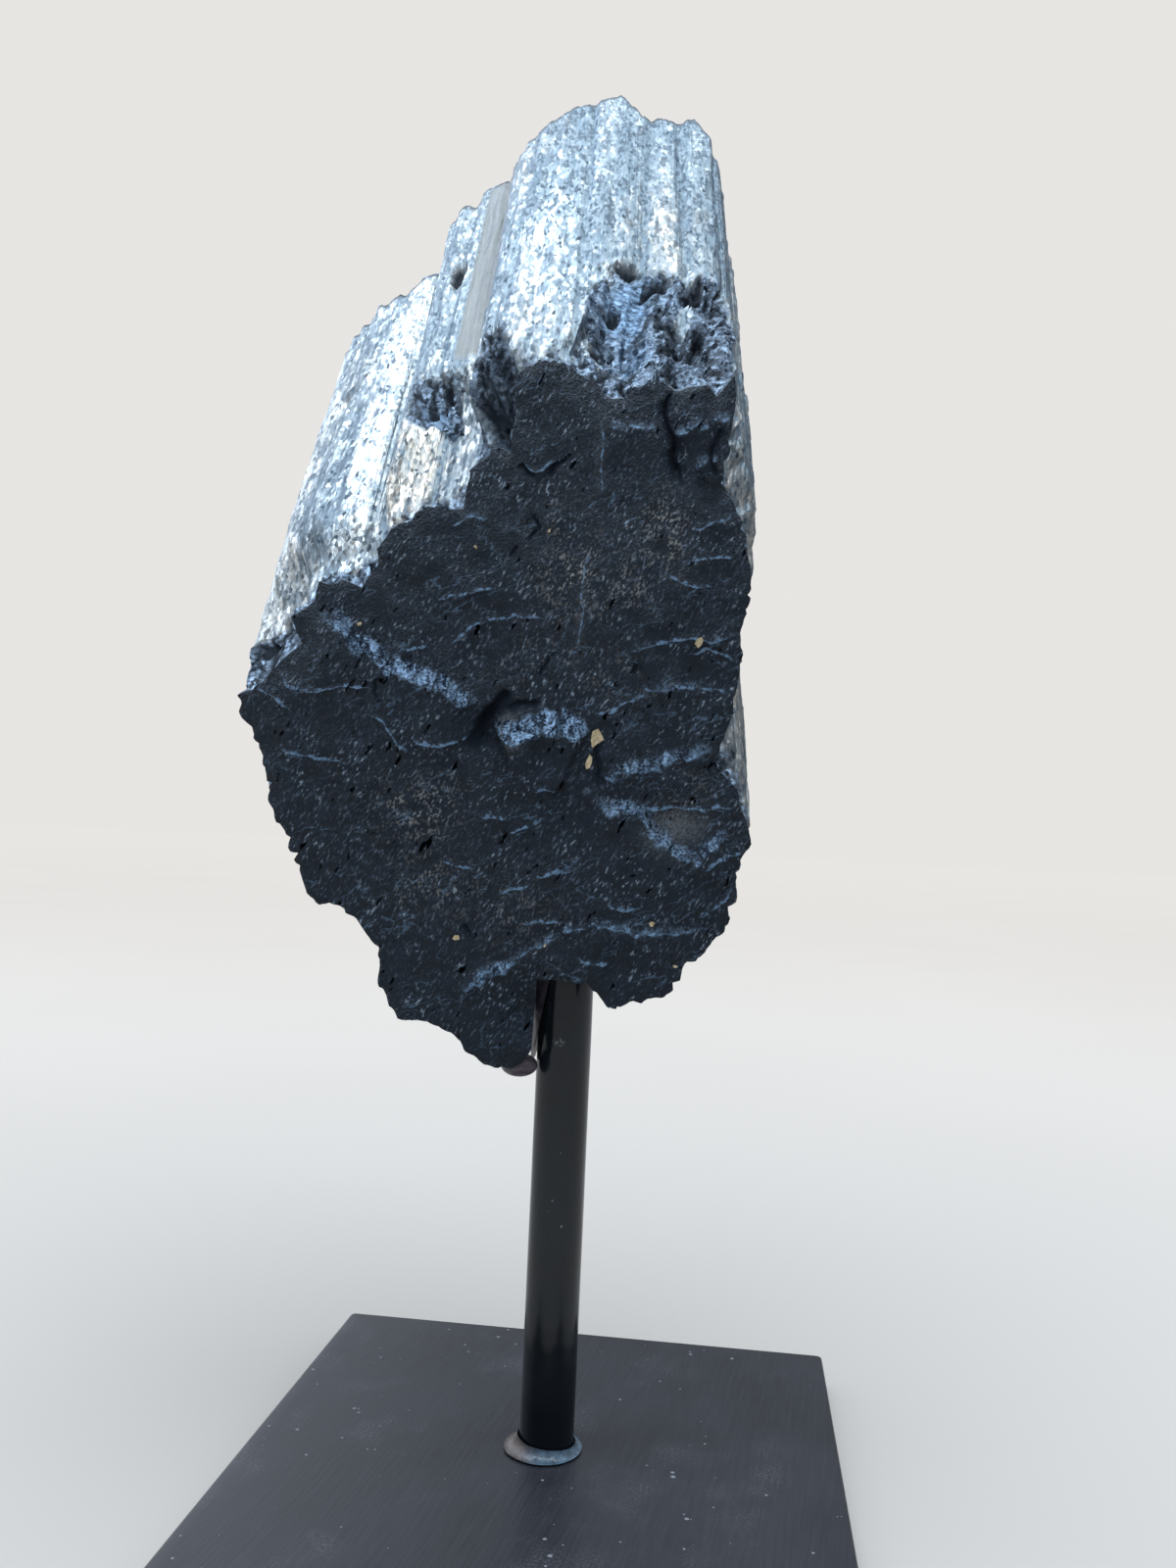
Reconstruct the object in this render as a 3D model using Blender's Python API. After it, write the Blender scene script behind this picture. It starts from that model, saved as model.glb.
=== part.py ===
"""A black tourmaline specimen: a bundle of grown-together columns on a round post and a square plate.

The stone is described in a sheared frame. Its front is a broken face that stands upright, square to Y.
Every column runs along one slanting axis, up and to the back. A point of the stone is given by (u, v),
its place on the front plane, and k, the distance from that plane along the columns. So a section of the
bundle keeps its (u, v) outline at every k, and the breaks in front and behind are heights k over it.
"""

import math

import bmesh
import bpy
import numpy as np
from mathutils import Vector
from mathutils.geometry import delaunay_2d_cdt

MM = 0.001

# Stand, in metres: a 4 inch plate and a 3/8 inch rod.
PLATE_SIDE = 0.1016
PLATE_THICK = 0.006
PLATE_EDGE_BEVEL = 0.0006
POST_DIAMETER = 0.009525
POST_SIDES = 48
POST_EDGE_BEVEL = 0.0004
GAP = 0.0003
FILLET_WIDTH = 0.0024
FILLET_HEIGHT = 0.0021
FILLET_LIP = 1.02
FILLET_STEPS = 6
POST_TOP = 0.124

# Socket and glue, in metres.
SOCKET_RADIUS = 0.0061
SOCKET_MOUTH = 0.04
SOCKET_TOP = 0.1252
GLUE_RADIUS = SOCKET_RADIUS - GAP
GLUE_BOTTOM = 0.0725
GLUE_SLANT_START = -0.0054
GLUE_RISE = 5.0
GLUE_SHORT_END = 0.102
DROP_CENTRE = (-0.0071, -0.0045, 0.0722)
DROP_SIZE = (0.0032, 0.0032, 0.0020)
DROP_CLEARANCE = 0.0004

# Stone, in millimetres.
FRONT_Y = -8.5
AXIS_UP = math.radians(51.3)
AXIS_LEAN = math.radians(-3.75)
CENTRE = (-12.0, 130.0)
EDGE_LENGTH = 2.7
CHIP_START = 0.45
CHIP_NEAR_SLOPE = 6.0
CHIP_FAR_SLOPE = 2.0
TEETH_DEPTH = 4.0
WORN_ABOVE = 140.0
WORN_BLEND = 20.0
FACE_ROUGHNESS = 0.35
FACE_ROUGH_SIZE = 14.0
END_ROUGHNESS = 0.8
END_ROUGH_SIZE = 6.0
FACE_POINT_SPACING = 3.5
WALL_STEPS = (0, 0.02, 0.05, 0.09, 0.13, 0.17, 0.21, 0.25, 0.28, 0.305, 0.33, 0.42, 0.56, 0.72, 0.88, 1)
BACK_POINT_SPACING = 4.4
BACK_REACH = 114.0
BACK_LEAN_SIDE = 0.25
BACK_LEAN_UP = 0.18
BACK_RIM = 9.0
BACK_ROUGHNESS = 0.8
BACK_ROUGH_SIZE = 9.0
BACK_STEP = 7.0
CELL_SIZE = 11.0
CELL_SHIFT = 0.4
FIELD_SHIFT = 0.28
FIELD_LEFT, FIELD_RIGHT = -66.0, 36.0
FIELD_BOTTOM, FIELD_TOP = 66.0, 204.0

# Fine ribs along the columns: height in millimetres, and turn in radians for each millimetre round
# the outline. They reach their full height at the depth RIBS_FULL.
RIBS = ((0.35, 1.31), (0.25, 2.17))
RIBS_FULL = 8.0

# Each row is one corner of the outline, seen from the front and taken clockwise from the left tip:
# rim u, v on the broken face, section u, v of the whole bundle, the depth at which the chipped rim has
# reached the whole section, and the length of the column there.
LEFT_BUNDLE = [
    (-60, 134, -60, 134, 5, 105),
    (-56, 136.5, -59.5, 139, 22, 103),
    (-53, 140, -58.5, 143.5, 22, 102),
    (-49, 144, -56.5, 148, 24, 100),
    (-51, 148.5, -54, 152, 20, 100),
    (-47, 151.5, -51, 155, 20, 100),
    (-46.5, 154.5, -48, 157, 14, 100),
    (-42.5, 155, -44.5, 158.5, 14, 101),
    (-38.5, 154, -40.5, 159.5, 16, 106),
    (-36, 158, -37, 159.5, 10, 110),
]
MIDDLE_BUNDLE = [
    (-36, 161, -36.7, 162, 10, 109),
    (-33.5, 164.5, -36.7, 166.5, 18, 113),
    (-30, 166, -35, 170.8, 36, 115.5),
    (-28.5, 168, -31.2, 172.2, 38, 115),
    (-25.5, 168.5, -29.8, 173.2, 40, 120),
    (-21, 168, -23.8, 174.3, 40, 124),
    (-20.5, 172, -22, 174.5, 36, 118),
    (-20, 175, -22, 178, 17, 108),
    (-17, 177.5, -22.2, 181.5, 13, 106),
    (-15.5, 179, -21.1, 186, 12, 104.5),
    (-13, 178, -19.7, 189.3, 11, 104.5),
    (-12.5, 185, -17.2, 191.5, 11, 108),
]
MAIN_BUNDLE = [
    (-13, 192, -14.5, 193.3, 10, 110),
    (-11, 193.5, -10.8, 194.5, 8, 114),
    (-8, 194.5, -7, 195, 8, 117.5),
    (-4, 194, -2.4, 195.5, 14, 119),
    (-1.5, 191.5, 0.3, 195.5, 30, 120.5),
    (1.5, 191, 2.7, 195.5, 34, 122),
    (3, 189, 4.7, 195.5, 35, 118.5),
    (7, 188, 7.8, 195, 35, 112.5),
    (8, 190, 10.4, 194.5, 35, 110.5),
    (11.5, 191.5, 13.4, 194, 33, 110),
    (14, 191, 16, 193.6, 32, 110),
    (15.5, 189.5, 18, 193.3, 30, 110.5),
    (21, 190.5, 20.3, 193, 28, 113.5),
    (22.5, 188, 23.1, 192, 26, 106),
    (25.5, 192, 25.3, 190.5, 20, 99),
]
RIGHT_SIDE = [
    (26, 186, 26.2, 186, 14, 92.5),
    (25, 179.5, 27.0, 180, 14, 88),
    (24, 176, 27.8, 175, 14, 88),
    (24.5, 171.5, 28.5, 170, 14, 92),
    (27.5, 166, 29.5, 165, 12, 96),
    (29.5, 159, 30.5, 159, 10, 97),
    (29.5, 153, 30.3, 153, 10, 98),
    (28, 147.5, 29.3, 147.5, 8, 99),
    (28.5, 143.5, 28.8, 143.5, 8, 100),
    (28, 139, 28.3, 139, 8, 101),
    (27, 133, 27.8, 133, 8, 102),
    (25.5, 127, 27.8, 128, 8, 103),
    (24.5, 125, 28, 125, 8, 103),
    (27, 122.5, 28.8, 122, 8, 103),
    (29, 119.5, 29.8, 119, 8, 103),
    (31, 114, 31, 114.5, 5, 103),
    (31, 112, 31, 111, 5, 104),
    (29.5, 107, 30.5, 107, 8, 104),
    (28, 101, 29, 102, 8, 104),
    (27, 97.5, 27.5, 97.5, 5, 105),
]
UNDERSIDE = [
    (24, 93.5, 24.5, 93, 5, 105),
    (21.5, 90.5, 21.5, 90, 5, 105),
    (18, 86, 18, 87, 5, 105),
    (15.5, 85, 15, 85.5, 5, 105),
    (12.5, 84.5, 12, 84.5, 5, 106),
    (10, 83, 9.5, 83.5, 10, 106),
    (8.5, 83, 7, 82.5, 10, 106),
    (6.5, 85, 4.5, 81.5, 34, 106),
    (4.5, 87.5, 1.5, 80.5, 34, 106),
    (-4, 87, -2, 79.5, 34, 106),
    (-4.5, 75, -5.5, 78, 34, 106),
    (-6.5, 72, -8, 76.5, 30, 106),
    (-9.5, 71.5, -10.5, 75.5, 25, 106),
    (-12.5, 72, -13.5, 75.5, 25, 106),
    (-16, 74.5, -17, 77, 20, 106),
    (-18, 77, -19.5, 79, 10, 106),
    (-23.5, 79, -24, 80.5, 10, 106),
    (-28, 79, -28, 82, 14, 106),
    (-31, 82.5, -31, 84.5, 10, 106),
]
LEFT_SIDE = [
    (-32, 88, -34, 88, 14, 106),
    (-32.5, 91, -36, 91.5, 14, 106),
    (-36.5, 95.5, -39, 95, 12, 106),
    (-39.5, 98, -42, 98, 12, 105),
    (-43, 98, -45, 101, 12, 105),
    (-45.5, 100, -47.5, 104, 12, 105),
    (-48, 106.5, -50, 108.5, 10, 105),
    (-51, 112, -52, 113, 10, 105),
    (-53, 116.5, -54, 117.5, 8, 105),
    (-53.5, 121.5, -56, 122, 12, 105),
    (-56.5, 127, -58, 127, 8, 105),
    (-59, 131, -59.5, 131, 5, 105),
]
OUTLINE = LEFT_BUNDLE + MIDDLE_BUNDLE + MAIN_BUNDLE + RIGHT_SIDE + UNDERSIDE + LEFT_SIDE

# Grooves between the columns: the section corner they are nearest to, their depth and half width.
GROOVES = [
    ((-54, 152), 0.9, 1.6),
    ((-37, 159.8), 2.2, 2.0),
    ((-30.6, 172.6), 0.8, 1.2),
    ((-22, 175.5), 1.1, 1.6),
    ((-3, 195.5), 0.8, 1.5),
    ((9.5, 195), 1.3, 1.8),
    ((17.5, 193.5), 0.7, 1.4),
    ((25, 190.5), 0.8, 1.4),
    ((28, 175), 1.0, 2.0),
    ((29.5, 145), 1.4, 2.2),
    ((29, 127), 1.2, 2.2),
    ((30, 107), 1.5, 2.0),
    ((18, 87), 1.8, 2.4),
    ((-2, 79.5), 1.4, 2.4),
    ((-19.5, 79), 2.2, 2.4),
    ((-34, 88), 2.0, 2.4),
    ((-45, 101), 2.0, 2.4),
    ((-54, 117.5), 1.4, 2.2),
]

# Chips out of the walls: the section corner, half width along the outline, depth range, how deep.
WALL_CHIPS = [
    ((-26.5, 173.8), 4.0, 21, 36, 5.0),
    ((-32.5, 172), 2.5, 25, 34, 3.0),
    ((3.5, 195.5), 5.0, 6, 34, 1.8),
    ((5, 195.5), 2.4, 10, 32, 1.6),
    ((9.5, 194.6), 2.0, 8, 31, 2.6),
    ((13.5, 194), 2.0, 12, 29, 0.9),
    ((19, 193.2), 3.2, 5, 30, 2.4),
    ((24, 191.5), 2.4, 4, 33, 2.6),
    ((-36.5, 162), 3.0, 101, 112, 3.5),
    ((-53, 153), 4.0, 58, 66, 1.2),
    ((29, 168), 9.0, 3, 44, -0.6),
]

# Ledges of the broken face: the stone under each line stands proud of the stone above it.
# Each has its line of points (u, v), its rise along the columns and how far the proud part fades.
LEDGES = [
    ([(-47, 151), (-42, 148.5), (-39.5, 145.5), (-34, 143), (-29, 141), (-22.5, 139), (-15, 135)], 3.2, 14),
    ([(-14, 130.5), (-9, 132), (-3, 132.5), (3.5, 130.5)], 5.2, 8),
    ([(4.5, 122.5), (9, 124.5), (17.5, 126.5), (22, 128), (24.5, 127)], 2.2, 6),
    ([(4, 119.5), (7, 117.5), (12.5, 117.3), (15, 113), (22, 110.5), (27, 113), (30, 112.5)], 2.4, 10),
    ([(10, 136.5), (18.5, 139.5), (23, 139), (28, 137)], 1.2, 8),
    ([(-18, 84.5), (-10, 90), (-4, 94), (6.5, 98.5), (14.5, 97.5), (26.5, 98)], 1.5, 9),
    ([(15.5, 181.5), (21, 184.5), (25, 185)], 2.0, 5),
    ([(19, 176), (23.5, 178.7)], 1.5, 4),
    ([(3.8, 184.5), (8.8, 183.2), (12.8, 183.2)], 1.4, 5),
]
LEDGE_WIDTH = 0.3

# Rounded swellings (negative) and hollows (positive) of the broken face: u, v, half sizes, depth.
SWELLINGS = [
    (-30, 126, 20, 16, -2.2),
    (-2, 124, 8, 5, -1.2),
    (15, 104, 14, 8, -1.0),
    (-9, 103, 13, 12, -1.4),
    (14, 158, 13, 12, -1.4),
    (-13, 158, 14, 12, -1.0),
    (4, 182, 12, 8, -0.8),
    (-14.5, 129.0, 2.2, 3.4, 3.6),
    (18.5, 115.5, 4.0, 2.4, 1.8),
    (-6.8, 81.5, 2.4, 5.5, 2.6),
    (16, 176, 1.8, 6, 1.6),
]


def unit(vector):
    """The vector at length one."""
    return vector / np.linalg.norm(vector)


COLUMN = unit(
    np.array(
        [
            math.tan(AXIS_LEAN),
            math.cos(AXIS_UP),
            math.sin(AXIS_UP),
        ]
    )
)


def in_space(uv, k):
    """A point of the stone in metres: its place on the front plane, moved by k along the columns."""
    front = np.stack([uv[..., 0], np.full(uv.shape[:-1], FRONT_Y), uv[..., 1]], axis=-1)
    return MM * (front + k[..., None] * COLUMN)


def smooth_step(x):
    """Zero below 0, one above 1, and the smooth curve x * x * (3 - 2x) between them."""
    x = np.clip(x, 0.0, 1.0)
    return x * x * (3.0 - 2.0 * x)


def rough(u, v, size):
    """A repeatable roughness between about -1 and 1: a sum of crossed waves of falling length."""
    total = 0.0
    for octave, turn in enumerate((0.3, 1.4, 2.3)):
        reach = 2.0 ** octave / size
        along = u * math.cos(turn) + v * math.sin(turn)
        across = v * math.cos(turn) - u * math.sin(turn)
        bend = 2.1 * np.sin(3.9 * reach * across + turn)
        total = total + np.sin(6.3 * reach * along + bend) / 2.0 ** octave
    return total / 1.75


def corner_place(outline, corner):
    """The distance along the section outline of its point nearest to a corner."""
    ends = np.roll(outline, -1, axis=0)
    steps = np.linalg.norm(ends - outline, axis=1)
    share = ((np.array(corner) - outline) * (ends - outline)).sum(axis=1) / steps ** 2
    share = np.clip(share, 0.0, 1.0)
    nearest = outline + share[:, None] * (ends - outline)
    best = np.linalg.norm(nearest - np.array(corner), axis=1).argmin()
    return steps[:best].sum() + share[best] * steps[best]


def divided(rows, edge_length):
    """The outline's rows with even extra rows between them, so that no edge is longer than edge_length."""
    parts = []
    for row, following in zip(rows, np.roll(rows, -1, axis=0)):
        pieces = max(1, round(np.linalg.norm(following[2:4] - row[2:4]) / edge_length))
        share = np.arange(pieces)[:, None] / pieces
        parts.append(row + share * (following - row))
    return np.concatenate(parts)


def around(distance, length):
    """Distances along a closed outline, taken the short way round."""
    return (distance + length / 2) % length - length / 2


def outward(outline):
    """The outward direction at each corner of an outline that runs clockwise seen from the front."""
    along = np.roll(outline, -1, axis=0) - np.roll(outline, 1, axis=0)
    normal = np.stack([-along[:, 1], along[:, 0]], axis=1)
    return normal / np.linalg.norm(normal, axis=1, keepdims=True)


def ledge_height(u, v, line, rise, fade):
    """Under the line the face stands proud by rise and falls back over the distance fade."""
    line = np.array(line, float)
    lengths = np.linalg.norm(np.diff(line, axis=0), axis=1)
    starts = np.concatenate([[0.0], np.cumsum(lengths)])
    nearest = np.full(u.shape, np.inf)
    height = np.zeros(u.shape)
    for (a, b), start, length in zip(zip(line[:-1], line[1:]), starts, lengths):
        way = (b - a) / length
        along = np.clip((u - a[0]) * way[0] + (v - a[1]) * way[1], 0.0, length)
        off_u = u - a[0] - along * way[0]
        off_v = v - a[1] - along * way[1]
        distance = np.hypot(off_u, off_v)
        above = np.where(off_v * way[0] - off_u * way[1] > 0, distance, -distance)
        place = (start + along) / starts[-1]
        window = smooth_step(4.0 * place) * smooth_step(4.0 * (1.0 - place))
        proud = (1.0 - smooth_step(above / LEDGE_WIDTH)) * np.exp(np.minimum(above, 0.0) / fade)
        proud = proud * np.exp(-(np.maximum(-above, 0.0) / (2.0 * fade)) ** 2)
        closer = distance < nearest
        height = np.where(closer, -rise * window * proud, height)
        nearest = np.where(closer, distance, nearest)
    return height


def face_height(u, v):
    """k of the broken front: ledges, swellings and a little roughness."""
    height = FACE_ROUGHNESS * rough(u, v, FACE_ROUGH_SIZE)
    for line, rise, fade in LEDGES:
        height = height + ledge_height(u, v, line, rise, fade)
    for centre_u, centre_v, half_u, half_v, depth in SWELLINGS:
        away = ((u - centre_u) / half_u) ** 2 + ((v - centre_v) / half_v) ** 2
        height = height + depth * np.exp(-away)
    return height


def wall_relief(place, k, length):
    """How far the wall stands out of the section: ribs along the columns, less grooves and chips."""
    section = np.array(OUTLINE, float)[:, 2:4]
    relief = sum(height * np.sin(turn * place + height * k / RIBS_FULL) for height, turn in RIBS)
    for corner, depth, half_width in GROOVES:
        off = around(place - corner_place(section, corner), length) / half_width
        relief = relief - depth * np.exp(-off ** 2)
    relief = relief * smooth_step(k / RIBS_FULL)
    for corner, half_width, near, far, depth in WALL_CHIPS:
        off = around(place - corner_place(section, corner), length) / half_width
        within = smooth_step((k - near) / CHIP_NEAR_SLOPE)
        within = within * (1.0 - smooth_step((k - far) / CHIP_FAR_SLOPE))
        relief = relief - depth * np.exp(-off ** 4) * within
    return relief


def column_cells(u, v):
    """Which group of columns a place belongs to: the nearest seed of a shifted grid, as a level 0 to 1."""
    nearest = np.full(u.shape, np.inf)
    level = np.zeros(u.shape)
    across = np.arange(FIELD_LEFT, FIELD_RIGHT, CELL_SIZE)
    upward = np.arange(FIELD_BOTTOM, FIELD_TOP, CELL_SIZE)
    for i, seed_u in enumerate(across):
        for j, seed_v in enumerate(upward):
            turn = 12.9 * i + 7.7 * j
            centre_u = seed_u + CELL_SHIFT * CELL_SIZE * math.sin(turn)
            centre_v = seed_v + CELL_SHIFT * CELL_SIZE * math.cos(1.7 * turn)
            distance = np.hypot(u - centre_u, v - centre_v)
            level = np.where(distance < nearest, 0.5 + 0.5 * math.sin(3.1 * turn), level)
            nearest = np.minimum(nearest, distance)
    return level


def back_height(points, rim, rim_k):
    """k of the break behind: a leaning plane in steps, brought to the columns' own ends near the rim."""
    u, v = points[:, 0], points[:, 1]
    plane = BACK_REACH + BACK_LEAN_SIDE * (u - CENTRE[0]) + BACK_LEAN_UP * (v - CENTRE[1])
    broken = plane - BACK_STEP * column_cells(u, v) + BACK_ROUGHNESS * rough(u, v, BACK_ROUGH_SIZE)
    apart = np.linalg.norm(points[:, None] - rim[None], axis=2)
    nearest = apart.argmin(axis=1)
    return rim_k[nearest] + smooth_step(apart.min(axis=1) / BACK_RIM) * (broken - rim_k[nearest])


def worn_rim(rim):
    """The rim with its small teeth worn off above the level where the columns show."""
    mean = (np.roll(rim, 2, axis=0) + np.roll(rim, 1, axis=0) + rim) / 5
    mean = mean + (np.roll(rim, -1, axis=0) + np.roll(rim, -2, axis=0)) / 5
    weight = smooth_step((rim[:, 1] - WORN_ABOVE) / WORN_BLEND)
    return rim + weight[:, None] * (mean - rim)


def stone_rings():
    """The closed rings of the wall, from the rim of the front break to the rim of the back."""
    rows = divided(np.array(OUTLINE, float), EDGE_LENGTH)
    rim, section, chip, reach = rows[:, 0:2], rows[:, 2:4], rows[:, 4], rows[:, 5]
    steps = np.linalg.norm(np.roll(section, -1, axis=0) - section, axis=1)
    place = np.concatenate([[0.0], np.cumsum(steps)[:-1]])
    normal = outward(section)
    start = face_height(rim[:, 0], rim[:, 1])
    stop = reach + END_ROUGHNESS * rough(section[:, 0], section[:, 1], END_ROUGH_SIZE)
    rings = []
    worn = worn_rim(rim)
    for share in WALL_STEPS:
        k = start + share * (stop - start)
        whole = smooth_step((k / chip - CHIP_START) / (1.0 - CHIP_START))
        sharp = 1.0 - smooth_step((k - start) / TEETH_DEPTH)
        uv = worn + sharp[:, None] * (rim - worn) + whole[:, None] * (section - worn)
        uv = uv + wall_relief(place, k, steps.sum())[:, None] * normal
        rings.append((uv, k))
    return rings


def inside(points, polygon):
    """Which points lie inside a polygon, by counting the edges that a level ray crosses."""
    found = np.zeros(len(points), bool)
    for a, b in zip(polygon, np.roll(polygon, -1, axis=0)):
        spans = (a[1] > points[:, 1]) != (b[1] > points[:, 1])
        rise = b[1] - a[1] if b[1] != a[1] else 1.0
        crossing = a[0] + (points[:, 1] - a[1]) * (b[0] - a[0]) / rise
        found ^= spans & (points[:, 0] < crossing)
    return found


def clear_of(points, others, distance):
    """Which points keep a distance from all the others."""
    apart = np.linalg.norm(points[:, None] - others[None], axis=2).min(axis=1)
    return apart > distance


def ledge_chains(rim):
    """Two lines of points along each ledge, under it and just over it, kept inside the rim."""
    chains = []
    for line, _, _ in LEDGES:
        line = np.array(line, float)
        steps = np.linalg.norm(np.diff(line, axis=0), axis=1)
        place = np.concatenate([[0.0], np.cumsum(steps)])
        fine = np.linspace(0.0, place[-1], max(3, round(place[-1] / 2.6)))
        u = np.interp(fine, place, line[:, 0])
        v = np.interp(fine, place, line[:, 1])
        low = np.stack([u, v], axis=1)
        low = low[inside(low, rim) & clear_of(low, rim, 1.0)]
        way = np.gradient(low, axis=0)
        side = np.stack([-way[:, 1], way[:, 0]], axis=1)
        side = side / np.linalg.norm(side, axis=1, keepdims=True)
        chains.append(low)
        chains.append(low + 1.2 * LEDGE_WIDTH * side)
    return chains


def field_points(rim, spacing, fixed):
    """A staggered, slightly shifted field of points inside a rim, clear of it and of the fixed points."""
    columns = np.arange(FIELD_LEFT, FIELD_RIGHT, spacing)
    levels = np.arange(FIELD_BOTTOM, FIELD_TOP, spacing)
    u, v = np.meshgrid(columns, levels)
    u = u + spacing / 2 * (np.arange(len(levels))[:, None] % 2)
    field = np.stack([u.ravel(), v.ravel()], axis=1)
    field = field + FIELD_SHIFT * spacing * np.sin(field[:, ::-1] * 12.7 + field * 7.3)
    return field[inside(field, rim) & clear_of(field, fixed, 0.4 * spacing)]


def break_triangles(rim, chains, spacing):
    """A break as points (u, v) and triangles: the rim first, in its order, then the points inside."""
    field = field_points(rim, spacing, np.concatenate([rim] + chains))
    edges = []
    count = len(rim)
    for chain in chains:
        edges += [(count + i, count + i + 1) for i in range(len(chain) - 1)]
        count += len(chain)
    flat = [Vector(point) for point in np.concatenate([rim] + chains + [field])]
    # The outline is clockwise, and a face's corners run anticlockwise.
    border = list(range(len(rim)))[::-1]
    found, _, triangles, _, _, _ = delaunay_2d_cdt(flat, edges, [border], 1, 1e-4)
    return np.array([tuple(point) for point in found]), triangles


def make_material(name, colour, roughness, metallic):
    """A plain Principled material."""
    material = bpy.data.materials.new(name)
    material.use_nodes = True
    shader = material.node_tree.nodes["Principled BSDF"]
    shader.inputs["Base Color"].default_value = (*colour, 1.0)
    shader.inputs["Roughness"].default_value = roughness
    shader.inputs["Metallic"].default_value = metallic
    material.diffuse_color = (*colour, 1.0)
    return material


def add_object(name, mesh, material=None):
    """A new object in the scene, with its material if it has one."""
    item = bpy.data.objects.new(name, mesh)
    bpy.context.scene.collection.objects.link(item)
    if material:
        mesh.materials.append(material)
    return item


def mesh_from(name, build):
    """A mesh filled by a function that works on an empty bmesh."""
    mesh = bpy.data.meshes.new(name)
    work = bmesh.new()
    build(work)
    bmesh.ops.recalc_face_normals(work, faces=work.faces)
    work.to_mesh(mesh)
    work.free()
    return mesh


def add_cutter(name, mesh):
    """An object that only cuts others."""
    cutter = add_object(name, mesh)
    cutter.hide_render = True
    cutter.display_type = "WIRE"
    return cutter


def combine(item, other, operation):
    """An exact Boolean of one object with another."""
    modifier = item.modifiers.new(other.name, "BOOLEAN")
    modifier.operation = operation
    modifier.solver = "EXACT"
    modifier.object = other


def add_break(work, points, triangles, k):
    """The triangles of one break, at k over the front plane, as new vertices."""
    verts = [work.verts.new(point) for point in in_space(points, k)]
    for triangle in triangles:
        work.faces.new([verts[i] for i in triangle])
    return verts


def build_stone(work):
    """The front break, the wall's rings and the break behind, as one closed skin."""
    rings = stone_rings()
    front, front_k = rings[0]
    points, triangles = break_triangles(front, ledge_chains(front), FACE_POINT_SPACING)
    k = face_height(points[:, 0], points[:, 1])
    k[: len(front)] = front_k
    rows = [add_break(work, points, triangles, k)[: len(front)]]
    for uv, k in rings[1:-1]:
        rows.append([work.verts.new(point) for point in in_space(uv, k)])
    back, back_k = rings[-1]
    points, triangles = break_triangles(back, [], BACK_POINT_SPACING)
    k = back_height(points, back, back_k)
    rows.append(add_break(work, points, triangles, k)[: len(back)])
    for row, following in zip(rows, rows[1:]):
        for i in range(len(row)):
            j = (i + 1) % len(row)
            work.faces.new([row[i], row[j], following[j], following[i]])
    bmesh.ops.triangulate(work, faces=work.faces)


def build_socket(work):
    """The drilled hole for the post, open below the stone."""
    made = bmesh.ops.create_cone(
        work,
        cap_ends=True,
        segments=POST_SIDES,
        radius1=SOCKET_RADIUS,
        radius2=SOCKET_RADIUS,
        depth=SOCKET_TOP - SOCKET_MOUTH,
    )
    bmesh.ops.translate(work, verts=made["verts"], vec=(0, 0, (SOCKET_TOP + SOCKET_MOUTH) / 2))


def build_drop(work, extra=0.0):
    """The rounded drop of glue under the stone, left of the post."""
    made = bmesh.ops.create_icosphere(work, subdivisions=3, radius=1.0)
    size = [half + extra for half in DROP_SIZE]
    bmesh.ops.scale(work, verts=made["verts"], vec=size)
    bmesh.ops.translate(work, verts=made["verts"], vec=DROP_CENTRE)


def build_drop_clearance(work):
    """The drop, a little larger, so that the stone keeps clear of it."""
    build_drop(work, DROP_CLEARANCE)


def build_glue(work):
    """A sleeve in the socket. Its lower end slants, so that the glue runs down the left side only."""
    inner = POST_DIAMETER / 2 + GAP
    top = SOCKET_TOP - GAP
    rings = []
    for radius, ends in ((GLUE_RADIUS, "low"), (GLUE_RADIUS, "high"), (inner, "high"), (inner, "low")):
        ring = []
        for i in range(POST_SIDES):
            angle = math.tau * i / POST_SIDES
            x = radius * math.cos(angle)
            y = radius * math.sin(angle)
            low = GLUE_BOTTOM + GLUE_RISE * max(0.0, x - GLUE_SLANT_START)
            low = min(low, GLUE_SHORT_END)
            ring.append(work.verts.new((x, y, low if ends == "low" else top)))
        rings.append(ring)
    for ring, following in zip(rings, rings[1:] + rings[:1]):
        for i in range(POST_SIDES):
            j = (i + 1) % POST_SIDES
            work.faces.new([ring[i], ring[j], following[j], following[i]])


def build_post_clearance(work):
    """The post with a gap round it, cut out of the glue's drop."""
    made = bmesh.ops.create_cone(
        work,
        cap_ends=True,
        segments=POST_SIDES,
        radius1=POST_DIAMETER / 2 + GAP,
        radius2=POST_DIAMETER / 2 + GAP,
        depth=6 * DROP_SIZE[2] + POST_DIAMETER,
    )
    bmesh.ops.translate(work, verts=made["verts"], vec=(0, 0, DROP_CENTRE[2]))


def build_post(work):
    """A round rod from just over the plate up into the socket."""
    foot = PLATE_THICK + GAP
    made = bmesh.ops.create_cone(
        work,
        cap_ends=True,
        segments=POST_SIDES,
        radius1=POST_DIAMETER / 2,
        radius2=POST_DIAMETER / 2,
        depth=POST_TOP - foot,
    )
    bmesh.ops.translate(work, verts=made["verts"], vec=(0, 0, (POST_TOP + foot) / 2))


def build_plate(work):
    """The square plate, its underside on the ground plane."""
    made = bmesh.ops.create_cube(work, size=1.0)
    bmesh.ops.scale(work, verts=made["verts"], vec=(PLATE_SIDE, PLATE_SIDE, PLATE_THICK))
    bmesh.ops.translate(work, verts=made["verts"], vec=(0, 0, PLATE_THICK / 2))


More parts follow.
